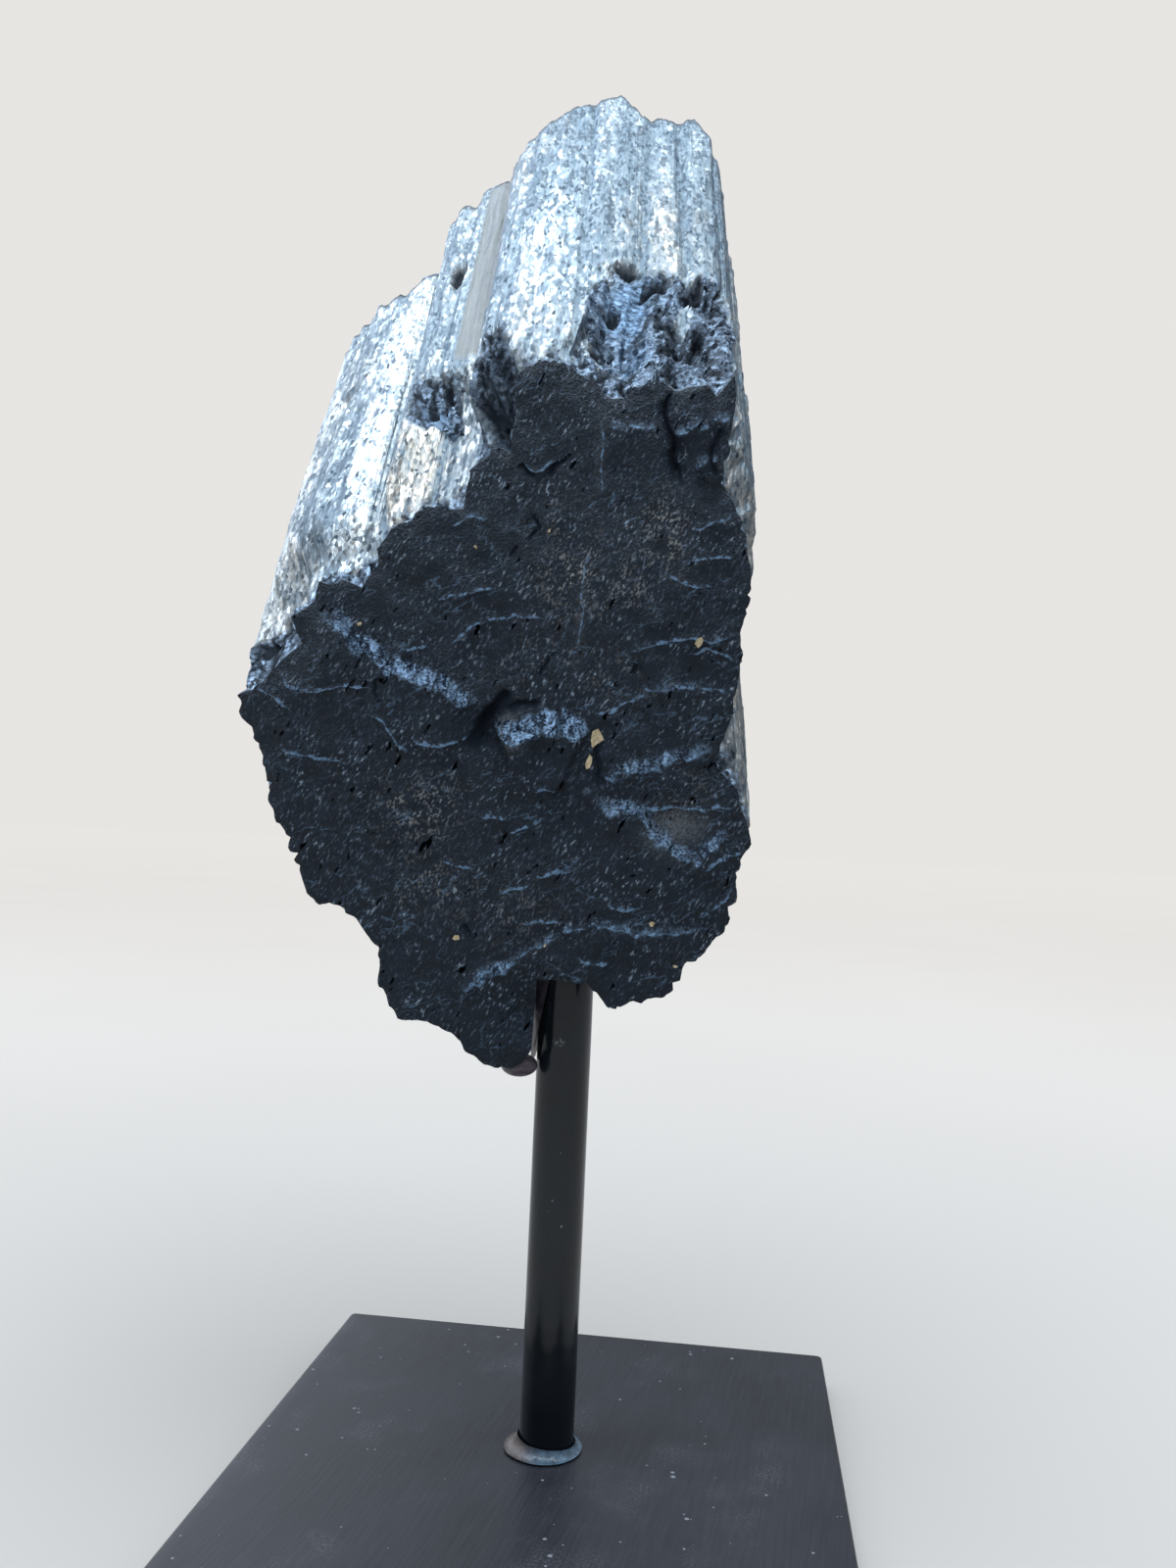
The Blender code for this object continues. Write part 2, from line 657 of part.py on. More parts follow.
def build_fillet(work):
    """A ring round the foot of the post, hollowed like a quarter circle between post and plate."""
    inner = POST_DIAMETER / 2 + GAP
    low = PLATE_THICK + GAP
    profile = [(inner, low)]
    for step in range(FILLET_STEPS + 1):
        angle = math.pi / 2 * step / FILLET_STEPS
        radius = inner + FILLET_WIDTH * (FILLET_LIP - math.sin(angle))
        profile.append((radius, low + FILLET_HEIGHT * (FILLET_LIP - math.cos(angle))))
    verts = [work.verts.new((radius, 0, height)) for radius, height in profile]
    edges = [work.edges.new((a, b)) for a, b in zip(verts, verts[1:] + verts[:1])]
    bmesh.ops.spin(
        work,
        geom=verts + edges,
        cent=(0, 0, 0),
        axis=(0, 0, 1),
        angle=math.tau,
        steps=POST_SIDES,
        use_merge=True,
    )


def add_bevel(item, width, segments):
    """Rounded edges on the sharp corners of an object."""
    modifier = item.modifiers.new("edges", "BEVEL")
    modifier.width = width
    modifier.segments = segments
    modifier.limit_method = "ANGLE"
    modifier.angle_limit = math.radians(60)


def make_tourmaline():
    """The stone with the socket and the room for the glue cut out of it."""
    black = make_material("black_tourmaline", (0.022, 0.026, 0.032), 0.42, 0.25)
    stone = add_object("tourmaline", mesh_from("tourmaline", build_stone), black)
    socket = add_cutter("socket_cutter", mesh_from("socket_cutter", build_socket))
    room = add_cutter("drop_cutter", mesh_from("drop_cutter", build_drop_clearance))
    combine(stone, socket, "DIFFERENCE")
    combine(stone, room, "DIFFERENCE")


def make_adhesive():
    """The glue sleeve joined with its drop, clear of the post."""
    clear = make_material("clear_glue", (0.30, 0.29, 0.34), 0.25, 0.0)
    glue = add_object("adhesive", mesh_from("adhesive", build_glue), clear)
    drop = add_cutter("glue_drop", mesh_from("glue_drop", build_drop))
    room = add_cutter("post_clearance", mesh_from("post_clearance", build_post_clearance))
    combine(glue, drop, "UNION")
    combine(glue, room, "DIFFERENCE")


def make_post():
    """The black rod."""
    paint = make_material("post_paint", (0.012, 0.016, 0.019), 0.28, 0.0)
    mesh = mesh_from("post", build_post)
    mesh.shade_smooth()
    mesh.set_sharp_from_angle(angle=math.radians(40))
    post = add_object("post", mesh, paint)
    add_bevel(post, POST_EDGE_BEVEL, 1)


def make_base_plate():
    """The charcoal plate."""
    satin = make_material("plate_satin", (0.045, 0.052, 0.06), 0.45, 0.3)
    plate = add_object("base_plate", mesh_from("base_plate", build_plate), satin)
    add_bevel(plate, PLATE_EDGE_BEVEL, 2)


def make_foot_fillet():
    """The shiny bead at the foot."""
    bead = make_material("fillet_paint", (0.02, 0.024, 0.03), 0.15, 0.0)
    mesh = mesh_from("foot_fillet", build_fillet)
    mesh.shade_smooth()
    mesh.set_sharp_from_angle(angle=math.radians(40))
    add_object("foot_fillet", mesh, bead)


def clear_scene():
    """Removes whatever the scene held."""
    for item in list(bpy.data.objects):
        bpy.data.objects.remove(item, do_unlink=True)


clear_scene()
make_base_plate()
make_post()
make_foot_fillet()
make_tourmaline()
make_adhesive()
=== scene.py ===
# %% [markdown]
# # A tourmaline specimen on a post
# The real object is a heavy chunk of black tourmaline, a bundle of thin columns that grew side by side.
# One end was broken off at a slant, and that dark break faces the viewer. The stone was drilled, and it
# is glued on a steel post over a square steel plate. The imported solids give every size. This script
# dresses them: finer meshes of the same shapes, materials, a pale studio and a camera.

# %% Load the frame
import math

import bpy
import numpy as np
from mathutils import Matrix, Vector
from mathutils.geometry import delaunay_2d_cdt


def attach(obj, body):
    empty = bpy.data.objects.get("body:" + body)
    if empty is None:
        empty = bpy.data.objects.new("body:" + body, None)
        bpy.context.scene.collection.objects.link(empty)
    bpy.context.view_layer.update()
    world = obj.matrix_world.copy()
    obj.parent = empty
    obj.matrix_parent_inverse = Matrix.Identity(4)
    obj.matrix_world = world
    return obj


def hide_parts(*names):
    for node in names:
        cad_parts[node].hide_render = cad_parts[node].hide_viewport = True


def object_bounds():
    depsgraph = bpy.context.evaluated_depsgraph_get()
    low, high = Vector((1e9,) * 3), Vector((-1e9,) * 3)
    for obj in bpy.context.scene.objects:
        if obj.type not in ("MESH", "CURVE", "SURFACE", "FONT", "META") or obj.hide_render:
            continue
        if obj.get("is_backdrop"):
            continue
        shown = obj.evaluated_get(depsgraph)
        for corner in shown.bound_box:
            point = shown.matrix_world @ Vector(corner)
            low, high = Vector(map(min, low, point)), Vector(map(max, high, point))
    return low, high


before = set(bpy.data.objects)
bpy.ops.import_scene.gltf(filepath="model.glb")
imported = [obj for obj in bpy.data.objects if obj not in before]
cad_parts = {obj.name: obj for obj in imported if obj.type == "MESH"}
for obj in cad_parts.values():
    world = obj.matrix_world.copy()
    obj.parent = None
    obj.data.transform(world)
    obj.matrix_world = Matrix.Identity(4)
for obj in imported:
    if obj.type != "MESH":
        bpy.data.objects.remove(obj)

MM = 0.001
cad_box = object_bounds()
print("solids:", sorted(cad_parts), "box:", cad_box)

# %% [markdown]
# ## Camera
# The view looks slightly down past the stone at the plate, from a little to the right of the post.
# A camera's turn is easiest to write as three angles: its heading, its pitch and its roll. From them
# come the three directions that make the rotation: right, up and back.

# %% Camera
CAMERA_PLACE = (0.028096, -0.217321, 0.110949)
CAMERA_HEADING = -0.118642
CAMERA_PITCH = 0.048443
CAMERA_ROLL = 0.044495
FOCAL_PIXELS = 1255.47
IMAGE_LONG_SIDE = 1600
SENSOR_MM = 36.0
NEAREST_SEEN = 0.01


def camera_turn(heading, pitch, roll):
    """The rotation matrix whose columns are the camera's right, up and back."""
    ahead = Vector((
        math.sin(heading) * math.cos(pitch),
        math.cos(heading) * math.cos(pitch),
        math.sin(pitch),
    ))
    level = Vector((math.cos(heading), -math.sin(heading), 0.0))
    above = level.cross(ahead)
    right = math.cos(roll) * level + math.sin(roll) * above
    up = math.cos(roll) * above - math.sin(roll) * level
    return Matrix(tuple(zip(right, up, -ahead)))


def make_camera():
    """A camera at the measured place, with the focal length in sensor millimetres."""
    data = bpy.data.cameras.new("view")
    data.sensor_width = SENSOR_MM
    data.lens = FOCAL_PIXELS * SENSOR_MM / IMAGE_LONG_SIDE
    data.clip_start = NEAREST_SEEN
    camera = bpy.data.objects.new("view", data)
    bpy.context.scene.collection.objects.link(camera)
    turn = camera_turn(CAMERA_HEADING, CAMERA_PITCH, CAMERA_ROLL).to_4x4()
    camera.matrix_world = Matrix.Translation(CAMERA_PLACE) @ turn
    bpy.context.scene.camera = camera
    return camera


camera = make_camera()
print("lens", round(camera.data.lens, 2), "mm")

# %% [markdown]
# ## Nodes
# The room's light and every finish are built of nodes, small steps that each work out a number, a colour
# or a direction. They start from a place or a direction, so they need no pictures. A few helpers keep
# the node code short: one fills a node's inputs, one adds a node, and the others do arithmetic.

# %% Node helpers
def feed(tree, node, inputs):
    """Each input is linked from a socket or set to a value. A colour is given by three numbers."""
    for name, value in inputs.items():
        socket = node.inputs[name]
        if isinstance(value, bpy.types.NodeSocket):
            tree.links.new(value, socket)
        elif socket.type == "RGBA":
            socket.default_value = (*value, 1.0)
        else:
            socket.default_value = value


def add_node(tree, kind, inputs=None, **settings):
    """A new shader node with its settings and its inputs."""
    node = tree.nodes.new("ShaderNode" + kind)
    for name, value in settings.items():
        setattr(node, name, value)
    feed(tree, node, inputs or {})
    return node


def compute(tree, operation, a, b=0.0, clamp=False):
    """The result of one Math node."""
    return add_node(tree, "Math", {0: a, 1: b}, operation=operation, use_clamp=clamp).outputs[0]


def times(tree, *values):
    """The product of several values."""
    product = values[0]
    for value in values[1:]:
        product = compute(tree, "MULTIPLY", product, value)
    return product


def added(tree, a, b, clamp=False):
    """The sum of two values."""
    return compute(tree, "ADD", a, b, clamp)


def larger(tree, a, b):
    """The larger of two values."""
    return compute(tree, "MAXIMUM", a, b)


def less(tree, value, share=1.0):
    """One less a share of a value."""
    return compute(tree, "SUBTRACT", 1.0, value if share == 1.0 else times(tree, value, share))


def ranged(tree, value, low, high, out_low=0.0, out_high=1.0):
    """A value stretched so that low and high become out_low and out_high, and held between them."""
    inputs = {"Value": value, "From Min": low, "From Max": high, "To Min": out_low, "To Max": out_high}
    return add_node(tree, "MapRange", inputs, clamp=True).outputs[0]


def mix_colour(tree, factor, a, b):
    """Colour a turning into colour b by a factor."""
    return add_node(tree, "Mix", {0: factor, 6: a, 7: b}, data_type="RGBA").outputs[2]


def mix_value(tree, factor, a, b):
    """Value a turning into value b by a factor."""
    return add_node(tree, "Mix", {0: factor, 2: a, 3: b}, data_type="FLOAT").outputs[0]


def mix_vector(tree, factor, a, b):
    """Vector a turning into vector b by a factor."""
    return add_node(tree, "Mix", {0: factor, 4: a, 5: b}, data_type="VECTOR").outputs[1]


def on_vectors(tree, operation, *inputs, result="Vector"):
    """The result of one Vector Math node: a vector, or the number under Value."""
    node = add_node(tree, "VectorMath", dict(enumerate(inputs)), operation=operation)
    return node.outputs[result]


def scaled(tree, vector, factor):
    """A vector times a number."""
    return add_node(tree, "VectorMath", {0: vector, "Scale": factor}, operation="SCALE").outputs[0]


def bumped(tree, height, strength, distance, **more):
    """The normal of a surface that rises and falls with a height."""
    inputs = {"Height": height, "Strength": strength, "Distance": distance, **more}
    return add_node(tree, "Bump", inputs).outputs[0]


print("node helpers ready")

# %% [markdown]
# ## Studio
# The floor is plain and pale. To the camera it glows more and more away from the stone, so it fades into
# the pale room and no horizon shows. One big soft light hangs overhead, and the room is brighter above
# than at eye level. The striated column faces slope up and back, so they mirror what is overhead and
# turn silver, and their colour holds that silver too as painted reflection, while the upright break
# mirrors the dim part of the room and stays black. A window at the back left, which shows in
# reflections alone, makes the left walls shine, with painted highlight on them as well.

# %% Studio
FLOOR_COLOUR, FLOOR_SHADE = (0.77, 0.715, 0.66), (0.745, 0.69, 0.635)
FLOOR_HALF_WIDTH = 20.0
SKY_COLOUR = (0.80, 0.785, 0.765)
ROOM_LOW = (0.16, 0.155, 0.15)
ROOM_HIGH = (0.55, 0.62, 0.72)
# Where the room turns from its low to its high colour: the height of a direction, from -1 to 1.
ROOM_TURN = (0.05, 0.85)
# The window: each row says where, along x and along y, a direction starts to meet it and meets it fully.
WINDOW_GAIN = 3.0
WINDOW_X, WINDOW_Y = (-0.15, -0.50), (-0.50, -0.10)
SOFTBOX_PLACE = (0.0, -0.02, 1.0)
SOFTBOX_SIZE = (0.9, 0.75)
SOFTBOX_WATTS = 7.5
SOFTBOX_COLOUR = (0.82, 0.92, 1.0)
GLOW_COLOUR = (0.466, 0.440, 0.399)
GLOW_HALF_WAY = 0.60


def grid_faces(rows, columns):
    """The four-sided faces of a grid of points: each row is closed, and joined to the next."""
    i, j = np.meshgrid(np.arange(rows - 1), np.arange(columns), indexing="ij")
    following = (j + 1) % columns
    near, far = i * columns, (i + 1) * columns
    corners = [near + j, near + following, far + following, far + j]
    return np.stack([corner.ravel() for corner in corners], axis=1)


def new_object(name, points, faces, smooth=True):
    """A mesh object at the origin, from points in metres and a list of faces."""
    mesh = bpy.data.meshes.new(name)
    mesh.from_pydata(np.asarray(points).tolist(), [], [list(map(int, face)) for face in faces])
    mesh.validate()
    mesh.update()
    mesh.polygons.foreach_set("use_smooth", np.full(len(mesh.polygons), smooth))
    item = bpy.data.objects.new(name, mesh)
    bpy.context.scene.collection.objects.link(item)
    return item


def make_floor():
    """One large square under the plate."""
    corners = [(-1, -1, 0), (1, -1, 0), (1, 1, 0), (-1, 1, 0)]
    return new_object("floor", FLOOR_HALF_WIDTH * np.array(corners), [(0, 1, 2, 3)])


def make_panel(name, place, size, watts, colour):
    """A rectangular area light that faces down."""
    data = bpy.data.lights.new(name, "AREA")
    data.shape = "RECTANGLE"
    data.size, data.size_y = size
    data.energy = watts
    data.color = colour
    light = bpy.data.objects.new(name, data)
    light.location = place
    bpy.context.scene.collection.objects.link(light)
    return light


def make_room():
    """The room's own light: dim at eye level, brighter above, with a window at the back left.

    The window multiplies the light of reflections alone, and a camera sees a plain pale tone.
    """
    world = bpy.data.worlds.new("room")
    world.use_nodes = True
    tree = world.node_tree
    tree.nodes.clear()
    way = add_node(tree, "SeparateXYZ", {0: add_node(tree, "TexCoord").outputs["Generated"]}).outputs
    ramp = add_node(tree, "ValToRGB", {"Fac": way["Z"]})
    for stop, height, colour in zip(ramp.color_ramp.elements, ROOM_TURN, (ROOM_LOW, ROOM_HIGH)):
        stop.position = height
        stop.color = (*colour, 1.0)
    path = add_node(tree, "LightPath").outputs
    across, ahead = ranged(tree, way["X"], *WINDOW_X), ranged(tree, way["Y"], *WINDOW_Y)
    window = times(tree, path["Is Glossy Ray"], across, ahead, WINDOW_GAIN)
    strength = added(tree, window, 1.0)
    lit = add_node(tree, "Background", {"Color": ramp.outputs["Color"], "Strength": strength})
    seen = add_node(tree, "Background", {"Color": SKY_COLOUR})
    mix = add_node(tree, "MixShader", {0: path["Is Camera Ray"], 1: lit.outputs[0], 2: seen.outputs[0]})
    add_node(tree, "OutputWorld", {"Surface": mix.outputs["Shader"]})
    bpy.context.scene.world = world


floor = make_floor()
floor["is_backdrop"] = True
make_panel("softbox", SOFTBOX_PLACE, SOFTBOX_SIZE, SOFTBOX_WATTS, SOFTBOX_COLOUR)
make_room()
bpy.context.scene.view_settings.view_transform = "Standard"
print("softbox", SOFTBOX_WATTS, "W")

# %% [markdown]
# ## The stone's own frame
# Every column runs along one slanting axis, up and to the back. So the stone is worked out in a sheared
# frame, in millimetres: (u, v) is a place on the upright front plane, and k is how far back along the
# columns a point lies. In that frame a bundle keeps one outline at every k, and a break is a height k.

# %% The sheared frame
FRONT_Y = -8.5
AXIS_UP = math.radians(51.3)
AXIS_LEAN = math.radians(-3.75)
CENTRE = (-12.0, 130.0)


def unit(vector):
    """The vector at length one."""
    return vector / np.linalg.norm(vector)


COLUMN = unit(np.array([math.tan(AXIS_LEAN), math.cos(AXIS_UP), math.sin(AXIS_UP)]))


def in_space(uv, k):
    """A point in metres: its place on the front plane, moved by k along the columns."""
    front = np.stack([uv[..., 0], np.full(uv.shape[:-1], FRONT_Y), uv[..., 1]], axis=-1)
    return MM * (front + k[..., None] * COLUMN)


def smooth_step(x):
    """Zero below 0, one above 1, and x * x * (3 - 2x) between them."""
    x = np.clip(x, 0.0, 1.0)
    return x * x * (3.0 - 2.0 * x)


def step_after(x, start, width):
    """Zero up to a start, one from the width beyond it, and a smooth step between them."""
    return smooth_step((x - start) / width)


print("column axis", COLUMN.round(3))

# %% [markdown]
# ## The outline of the bundle
# Each six numbers are one corner of the outline, clockwise from the left tip: rim u, v on the break,
# section u, v of the whole bundle, the depth at which the chipped rim has reached the section, and the
# length of the column there. The solids use the same corners, so both models keep one silhouette.

# %% Outline
LEFT_BUNDLE = [
    (-60, 134, -60, 134, 5, 105), (-56, 136.5, -59.5, 139, 22, 103),
    (-53, 140, -58.5, 143.5, 22, 102), (-49, 144, -56.5, 148, 24, 100),
    (-51, 148.5, -54, 152, 20, 100), (-47, 151.5, -51, 155, 20, 100),
    (-46.5, 154.5, -48, 157, 14, 100), (-42.5, 155, -44.5, 158.5, 14, 101),
    (-38.5, 154, -40.5, 159.5, 16, 106), (-36, 158, -37, 159.5, 10, 110),
]
MIDDLE_BUNDLE = [
    (-36, 161, -36.7, 162, 10, 109), (-33.5, 164.5, -36.7, 166.5, 18, 113),
    (-30, 166, -35, 170.8, 36, 115.5), (-28.5, 168, -31.2, 172.2, 38, 115),
    (-25.5, 168.5, -29.8, 173.2, 40, 120), (-21, 168, -23.8, 174.3, 40, 124),
    (-20.5, 172, -22, 174.5, 36, 118), (-20, 175, -22, 178, 17, 108),
    (-17, 177.5, -22.2, 181.5, 13, 106), (-15.5, 179, -21.1, 186, 12, 104.5),
    (-13, 178, -19.7, 189.3, 11, 104.5), (-12.5, 185, -17.2, 191.5, 11, 108),
]
MAIN_BUNDLE = [
    (-13, 192, -14.5, 193.3, 10, 110), (-11, 193.5, -10.8, 194.5, 8, 114),
    (-8, 194.5, -7, 195, 8, 117.5), (-4, 194, -2.4, 195.5, 14, 119),
    (-1.5, 191.5, 0.3, 195.5, 30, 120.5), (1.5, 191, 2.7, 195.5, 34, 122),
    (3, 189, 4.7, 195.5, 35, 118.5), (7, 188, 7.8, 195, 35, 112.5),
    (8, 190, 10.4, 194.5, 35, 110.5), (11.5, 191.5, 13.4, 194, 33, 110),
    (14, 191, 16, 193.6, 32, 110), (15.5, 189.5, 18, 193.3, 30, 110.5),
    (21, 190.5, 20.3, 193, 28, 113.5), (22.5, 188, 23.1, 192, 26, 106),
    (25.5, 192, 25.3, 190.5, 20, 99),
]
RIGHT_SIDE = [
    (26, 186, 26.2, 186, 14, 92.5), (25, 179.5, 27.0, 180, 14, 88),
    (24, 176, 27.8, 175, 14, 88), (24.5, 171.5, 28.5, 170, 14, 92),
    (27.5, 166, 29.5, 165, 12, 96), (29.5, 159, 30.5, 159, 10, 97),
    (29.5, 153, 30.3, 153, 10, 98), (28, 147.5, 29.3, 147.5, 8, 99),
    (28.5, 143.5, 28.8, 143.5, 8, 100), (28, 139, 28.3, 139, 8, 101),
    (27, 133, 27.8, 133, 8, 102), (25.5, 127, 27.8, 128, 8, 103),
    (24.5, 125, 28, 125, 8, 103), (27, 122.5, 28.8, 122, 8, 103),
    (29, 119.5, 29.8, 119, 8, 103), (31, 114, 31, 114.5, 5, 103),
    (31, 112, 31, 111, 5, 104), (29.5, 107, 30.5, 107, 8, 104),
    (28, 101, 29, 102, 8, 104), (27, 97.5, 27.5, 97.5, 5, 105),
]
UNDERSIDE = [
    (24, 93.5, 24.5, 93, 5, 105), (21.5, 90.5, 21.5, 90, 5, 105),
    (18, 86, 18, 87, 5, 105), (15.5, 85, 15, 85.5, 5, 105),
    (12.5, 84.5, 12, 84.5, 5, 106), (10, 83, 9.5, 83.5, 10, 106),
    (8.5, 83, 7, 82.5, 10, 106), (6.5, 85, 4.5, 81.5, 34, 106),
    (4.5, 87.5, 1.5, 80.5, 34, 106), (-4, 87, -2, 79.5, 34, 106),
    (-4.5, 75, -5.5, 78, 34, 106), (-6.5, 72, -8, 76.5, 30, 106),
    (-9.5, 71.5, -10.5, 75.5, 25, 106), (-12.5, 72, -13.5, 75.5, 25, 106),
    (-16, 74.5, -17, 77, 20, 106), (-18, 77, -19.5, 79, 10, 106),
    (-23.5, 79, -24, 80.5, 10, 106), (-28, 79, -28, 82, 14, 106),
    (-31, 82.5, -31, 84.5, 10, 106),
]
LEFT_SIDE = [
    (-32, 88, -34, 88, 14, 106), (-32.5, 91, -36, 91.5, 14, 106),
    (-36.5, 95.5, -39, 95, 12, 106), (-39.5, 98, -42, 98, 12, 105),
    (-43, 98, -45, 101, 12, 105), (-45.5, 100, -47.5, 104, 12, 105),
    (-48, 106.5, -50, 108.5, 10, 105), (-51, 112, -52, 113, 10, 105),
    (-53, 116.5, -54, 117.5, 8, 105), (-53.5, 121.5, -56, 122, 12, 105),
    (-56.5, 127, -58, 127, 8, 105), (-59, 131, -59.5, 131, 5, 105),
]
OUTLINE = LEFT_BUNDLE + MIDDLE_BUNDLE + MAIN_BUNDLE + RIGHT_SIDE + UNDERSIDE + LEFT_SIDE
SECTION = np.array(OUTLINE, float)[:, 2:4]
print(len(OUTLINE), "corners in the outline")

# %% [markdown]
# ## Marks on the stone
# Grooves run along the walls, chips are broken out of them, and ledges step across the break. They lie
# where the solids have them and are as large, but some ledges rise a little less here. The thin ledges,
# the cracks and the scratches are too fine for the solids.

# %% Marks
# Grooves of the walls: the section corner, how deep, and half width along the outline.
GROOVES = [
    ((-54, 152), 0.9, 1.6),
    ((-37, 159.8), 2.2, 2.0),
    ((-30.6, 172.6), 0.8, 1.2),
    ((-22, 175.5), 1.1, 1.6),
    ((-3, 195.5), 0.8, 1.5),
    ((9.5, 195), 1.3, 1.8),
    ((17.5, 193.5), 0.7, 1.4),
    ((25, 190.5), 0.8, 1.4),
    ((28, 175), 1.0, 2.0),
    ((29.5, 145), 1.4, 2.2),
    ((29, 127), 1.2, 2.2),
    ((30, 107), 1.5, 2.0),
    ((18, 87), 1.8, 2.4),
    ((-2, 79.5), 1.4, 2.4),
    ((-19.5, 79), 2.2, 2.4),
    ((-34, 88), 2.0, 2.4),
    ((-45, 101), 2.0, 2.4),
    ((-54, 117.5), 1.4, 2.2),
]

# Chips out of the walls: the section corner, half width along the outline, depth range, how deep.
WALL_CHIPS = [
    ((-26.5, 173.8), 4.0, 21, 36, 5.0),
    ((-32.5, 172), 2.5, 25, 34, 3.0),
    ((3.5, 195.5), 5.0, 6, 34, 1.8),
    ((5, 195.5), 2.4, 10, 32, 1.6),
    ((9.5, 194.6), 2.0, 8, 31, 2.6),
    ((13.5, 194), 2.0, 12, 29, 0.9),
    ((19, 193.2), 3.2, 5, 30, 2.4),
    ((24, 191.5), 2.4, 4, 33, 2.6),
    ((-36.5, 162), 3.0, 101, 112, 3.5),
    ((-53, 153), 4.0, 58, 66, 1.2),
    ((29, 168), 9.0, 3, 44, -0.6),
]

# Ledges of the broken face: the stone under each line stands proud of the stone above it.
# Each has its line of points (u, v), its rise along the columns and how far the proud part fades.
LEDGES = [
    ([(-47, 151), (-42, 148.5), (-39.5, 145.5), (-34, 143), (-29, 141), (-22.5, 139), (-15, 135)], 3.2, 14),
    ([(-14, 130.5), (-9, 132), (-3, 132.5), (3.5, 130.5)], 5.2, 8),
    ([(4.5, 122.5), (9, 124.5), (17.5, 126.5), (22, 128), (24.5, 127)], 1.7, 6),
    ([(4, 119.5), (7, 117.5), (12.5, 117.3), (15, 113), (22, 110.5), (27, 113), (30, 112.5)], 2.0, 10),
    ([(10, 136.5), (18.5, 139.5), (23, 139), (28, 137)], 0.8, 8),
    ([(-18, 84.5), (-10, 90), (-4, 94), (6.5, 98.5), (14.5, 97.5), (26.5, 98)], 1.0, 9),
    ([(15.5, 181.5), (21, 184.5), (25, 185)], 1.5, 5),
    ([(19, 176), (23.5, 178.7)], 1.3, 4),
    ([(3.8, 184.5), (8.8, 183.2), (12.8, 183.2)], 1.1, 5),
]
# Rounded swellings (negative) and hollows (positive) of the break: u, v, half sizes and depth.
SWELLINGS = [
    (-30, 126, 20, 16, -2.2), (-2, 124, 8, 5, -1.2),
    (15, 104, 14, 8, -1.0), (-9, 103, 13, 12, -1.4),
    (14, 158, 13, 12, -1.4), (-13, 158, 14, 12, -1.0),
    (4, 182, 12, 8, -0.8), (-14.5, 129.0, 2.2, 3.4, 3.6),
    (18.5, 115.5, 4.0, 2.4, 1.8), (-6.8, 81.5, 2.4, 5.5, 2.6),
    (16, 176, 1.8, 6, 1.6),
]

# Thin ledges: points (u, v) and the rise along the columns.
FINE_LEDGES = [
    ([(-52.8, 139.5), (-49.4, 137.5), (-45.4, 137.3), (-42.1, 138.8), (-37.9, 139), (-34.6, 138.7)], 0.8),
    ([(-36.3, 133.9), (-33, 133.7), (-31.6, 131.2), (-29.8, 129), (-27.8, 127.5)], 0.8),
    ([(-28, 130.6), (-24.3, 129.5), (-20.5, 129.3), (-16.9, 129.1)], 0.7),
    ([(-57, 135.2), (-54.2, 135.3), (-52.2, 134.4), (-50.4, 133.4)], 0.6),
    ([(-52.6, 125.3), (-48.3, 125.2), (-43.7, 125), (-38.4, 125.3)], 0.45),
    ([(-31, 144.5), (-27.7, 144.5), (-25.8, 145)], 0.5),
    ([(-24.9, 152.7), (-22.4, 153.8), (-19.8, 154.4), (-17.9, 155.4), (-14.7, 155.2)], 0.6),
    ([(-21.9, 144.2), (-20, 146.1), (-18.2, 148.4), (-15.1, 149.8), (-9.3, 150.2), (-5.5, 150)], 0.5),
    ([(8.6, 143.7), (12.9, 145.4), (16.6, 146.7), (19.7, 147.4), (23.4, 146.9), (27.6, 148.2)], 0.8),
    ([(18.7, 144.5), (21.2, 145.3), (23.7, 146), (26.2, 144.7), (27.7, 143)], 0.7),
    ([(15.5, 158.9), (18, 157.7), (21.2, 156.2), (23.3, 155.6)], 0.7),
    ([(-15.4, 116.3), (-13.4, 116.8), (-10.6, 116.4)], 0.9),
    ([(-10.4, 113.6), (-7.6, 114.5), (-5.6, 115), (-4.2, 116.1)], 0.8),
    ([(-22, 108.1), (-18.1, 107.4), (-15.5, 107.2)], 0.5),
    ([(-4.9, 106.1), (-1.6, 106.9), (1.5, 107.3)], 0.6),
    ([(-11.5, 102.7), (-8.4, 104.1), (-5.9, 105.1)], 0.6),
    ([(7, 101.6), (10.2, 101), (13.5, 101.2)], 0.4),
    ([(-7.1, 97.7), (-3.1, 98.2), (0.1, 98.1)], 0.6),
    (
        [(11.6, 117.6), (16.6, 117.8), (19.8, 117.6), (21.2, 118.7), (23.3, 118.1), (25.1, 118.9),
         (29.1, 118)],
        0.8,
    ),
    ([(-17, 85.1), (-14.5, 87.4), (-12.1, 88.7), (-8.4, 90.2)], 1.1),
    ([(2.8, 91.7), (5.3, 91.2), (7.8, 91.1)], 0.6),
    ([(23, 100.5), (26.9, 103.3), (28.4, 104.9)], 1.0),
    ([(23, 108.5), (25.1, 110.1), (27.5, 110.9), (30, 111.2)], 0.6),
    ([(4.2, 133.2), (6.8, 133.8), (8.5, 135.2), (11.7, 137)], 0.5),
    ([(-6.3, 121.4), (-4.1, 122.2), (-1.9, 121.8)], 0.5),
    ([(-11.4, 177.2), (-8.2, 175.8), (-5.3, 176.9), (-2.3, 179)], 0.7),
    ([(-23, 165.5), (-20, 167), (-16.5, 167.2)], 0.6),
    ([(19.5, 166), (22.5, 168), (26, 168.2)], 0.9),
    ([(18.5, 160), (21.5, 161.6), (27, 161)], 0.6),
]
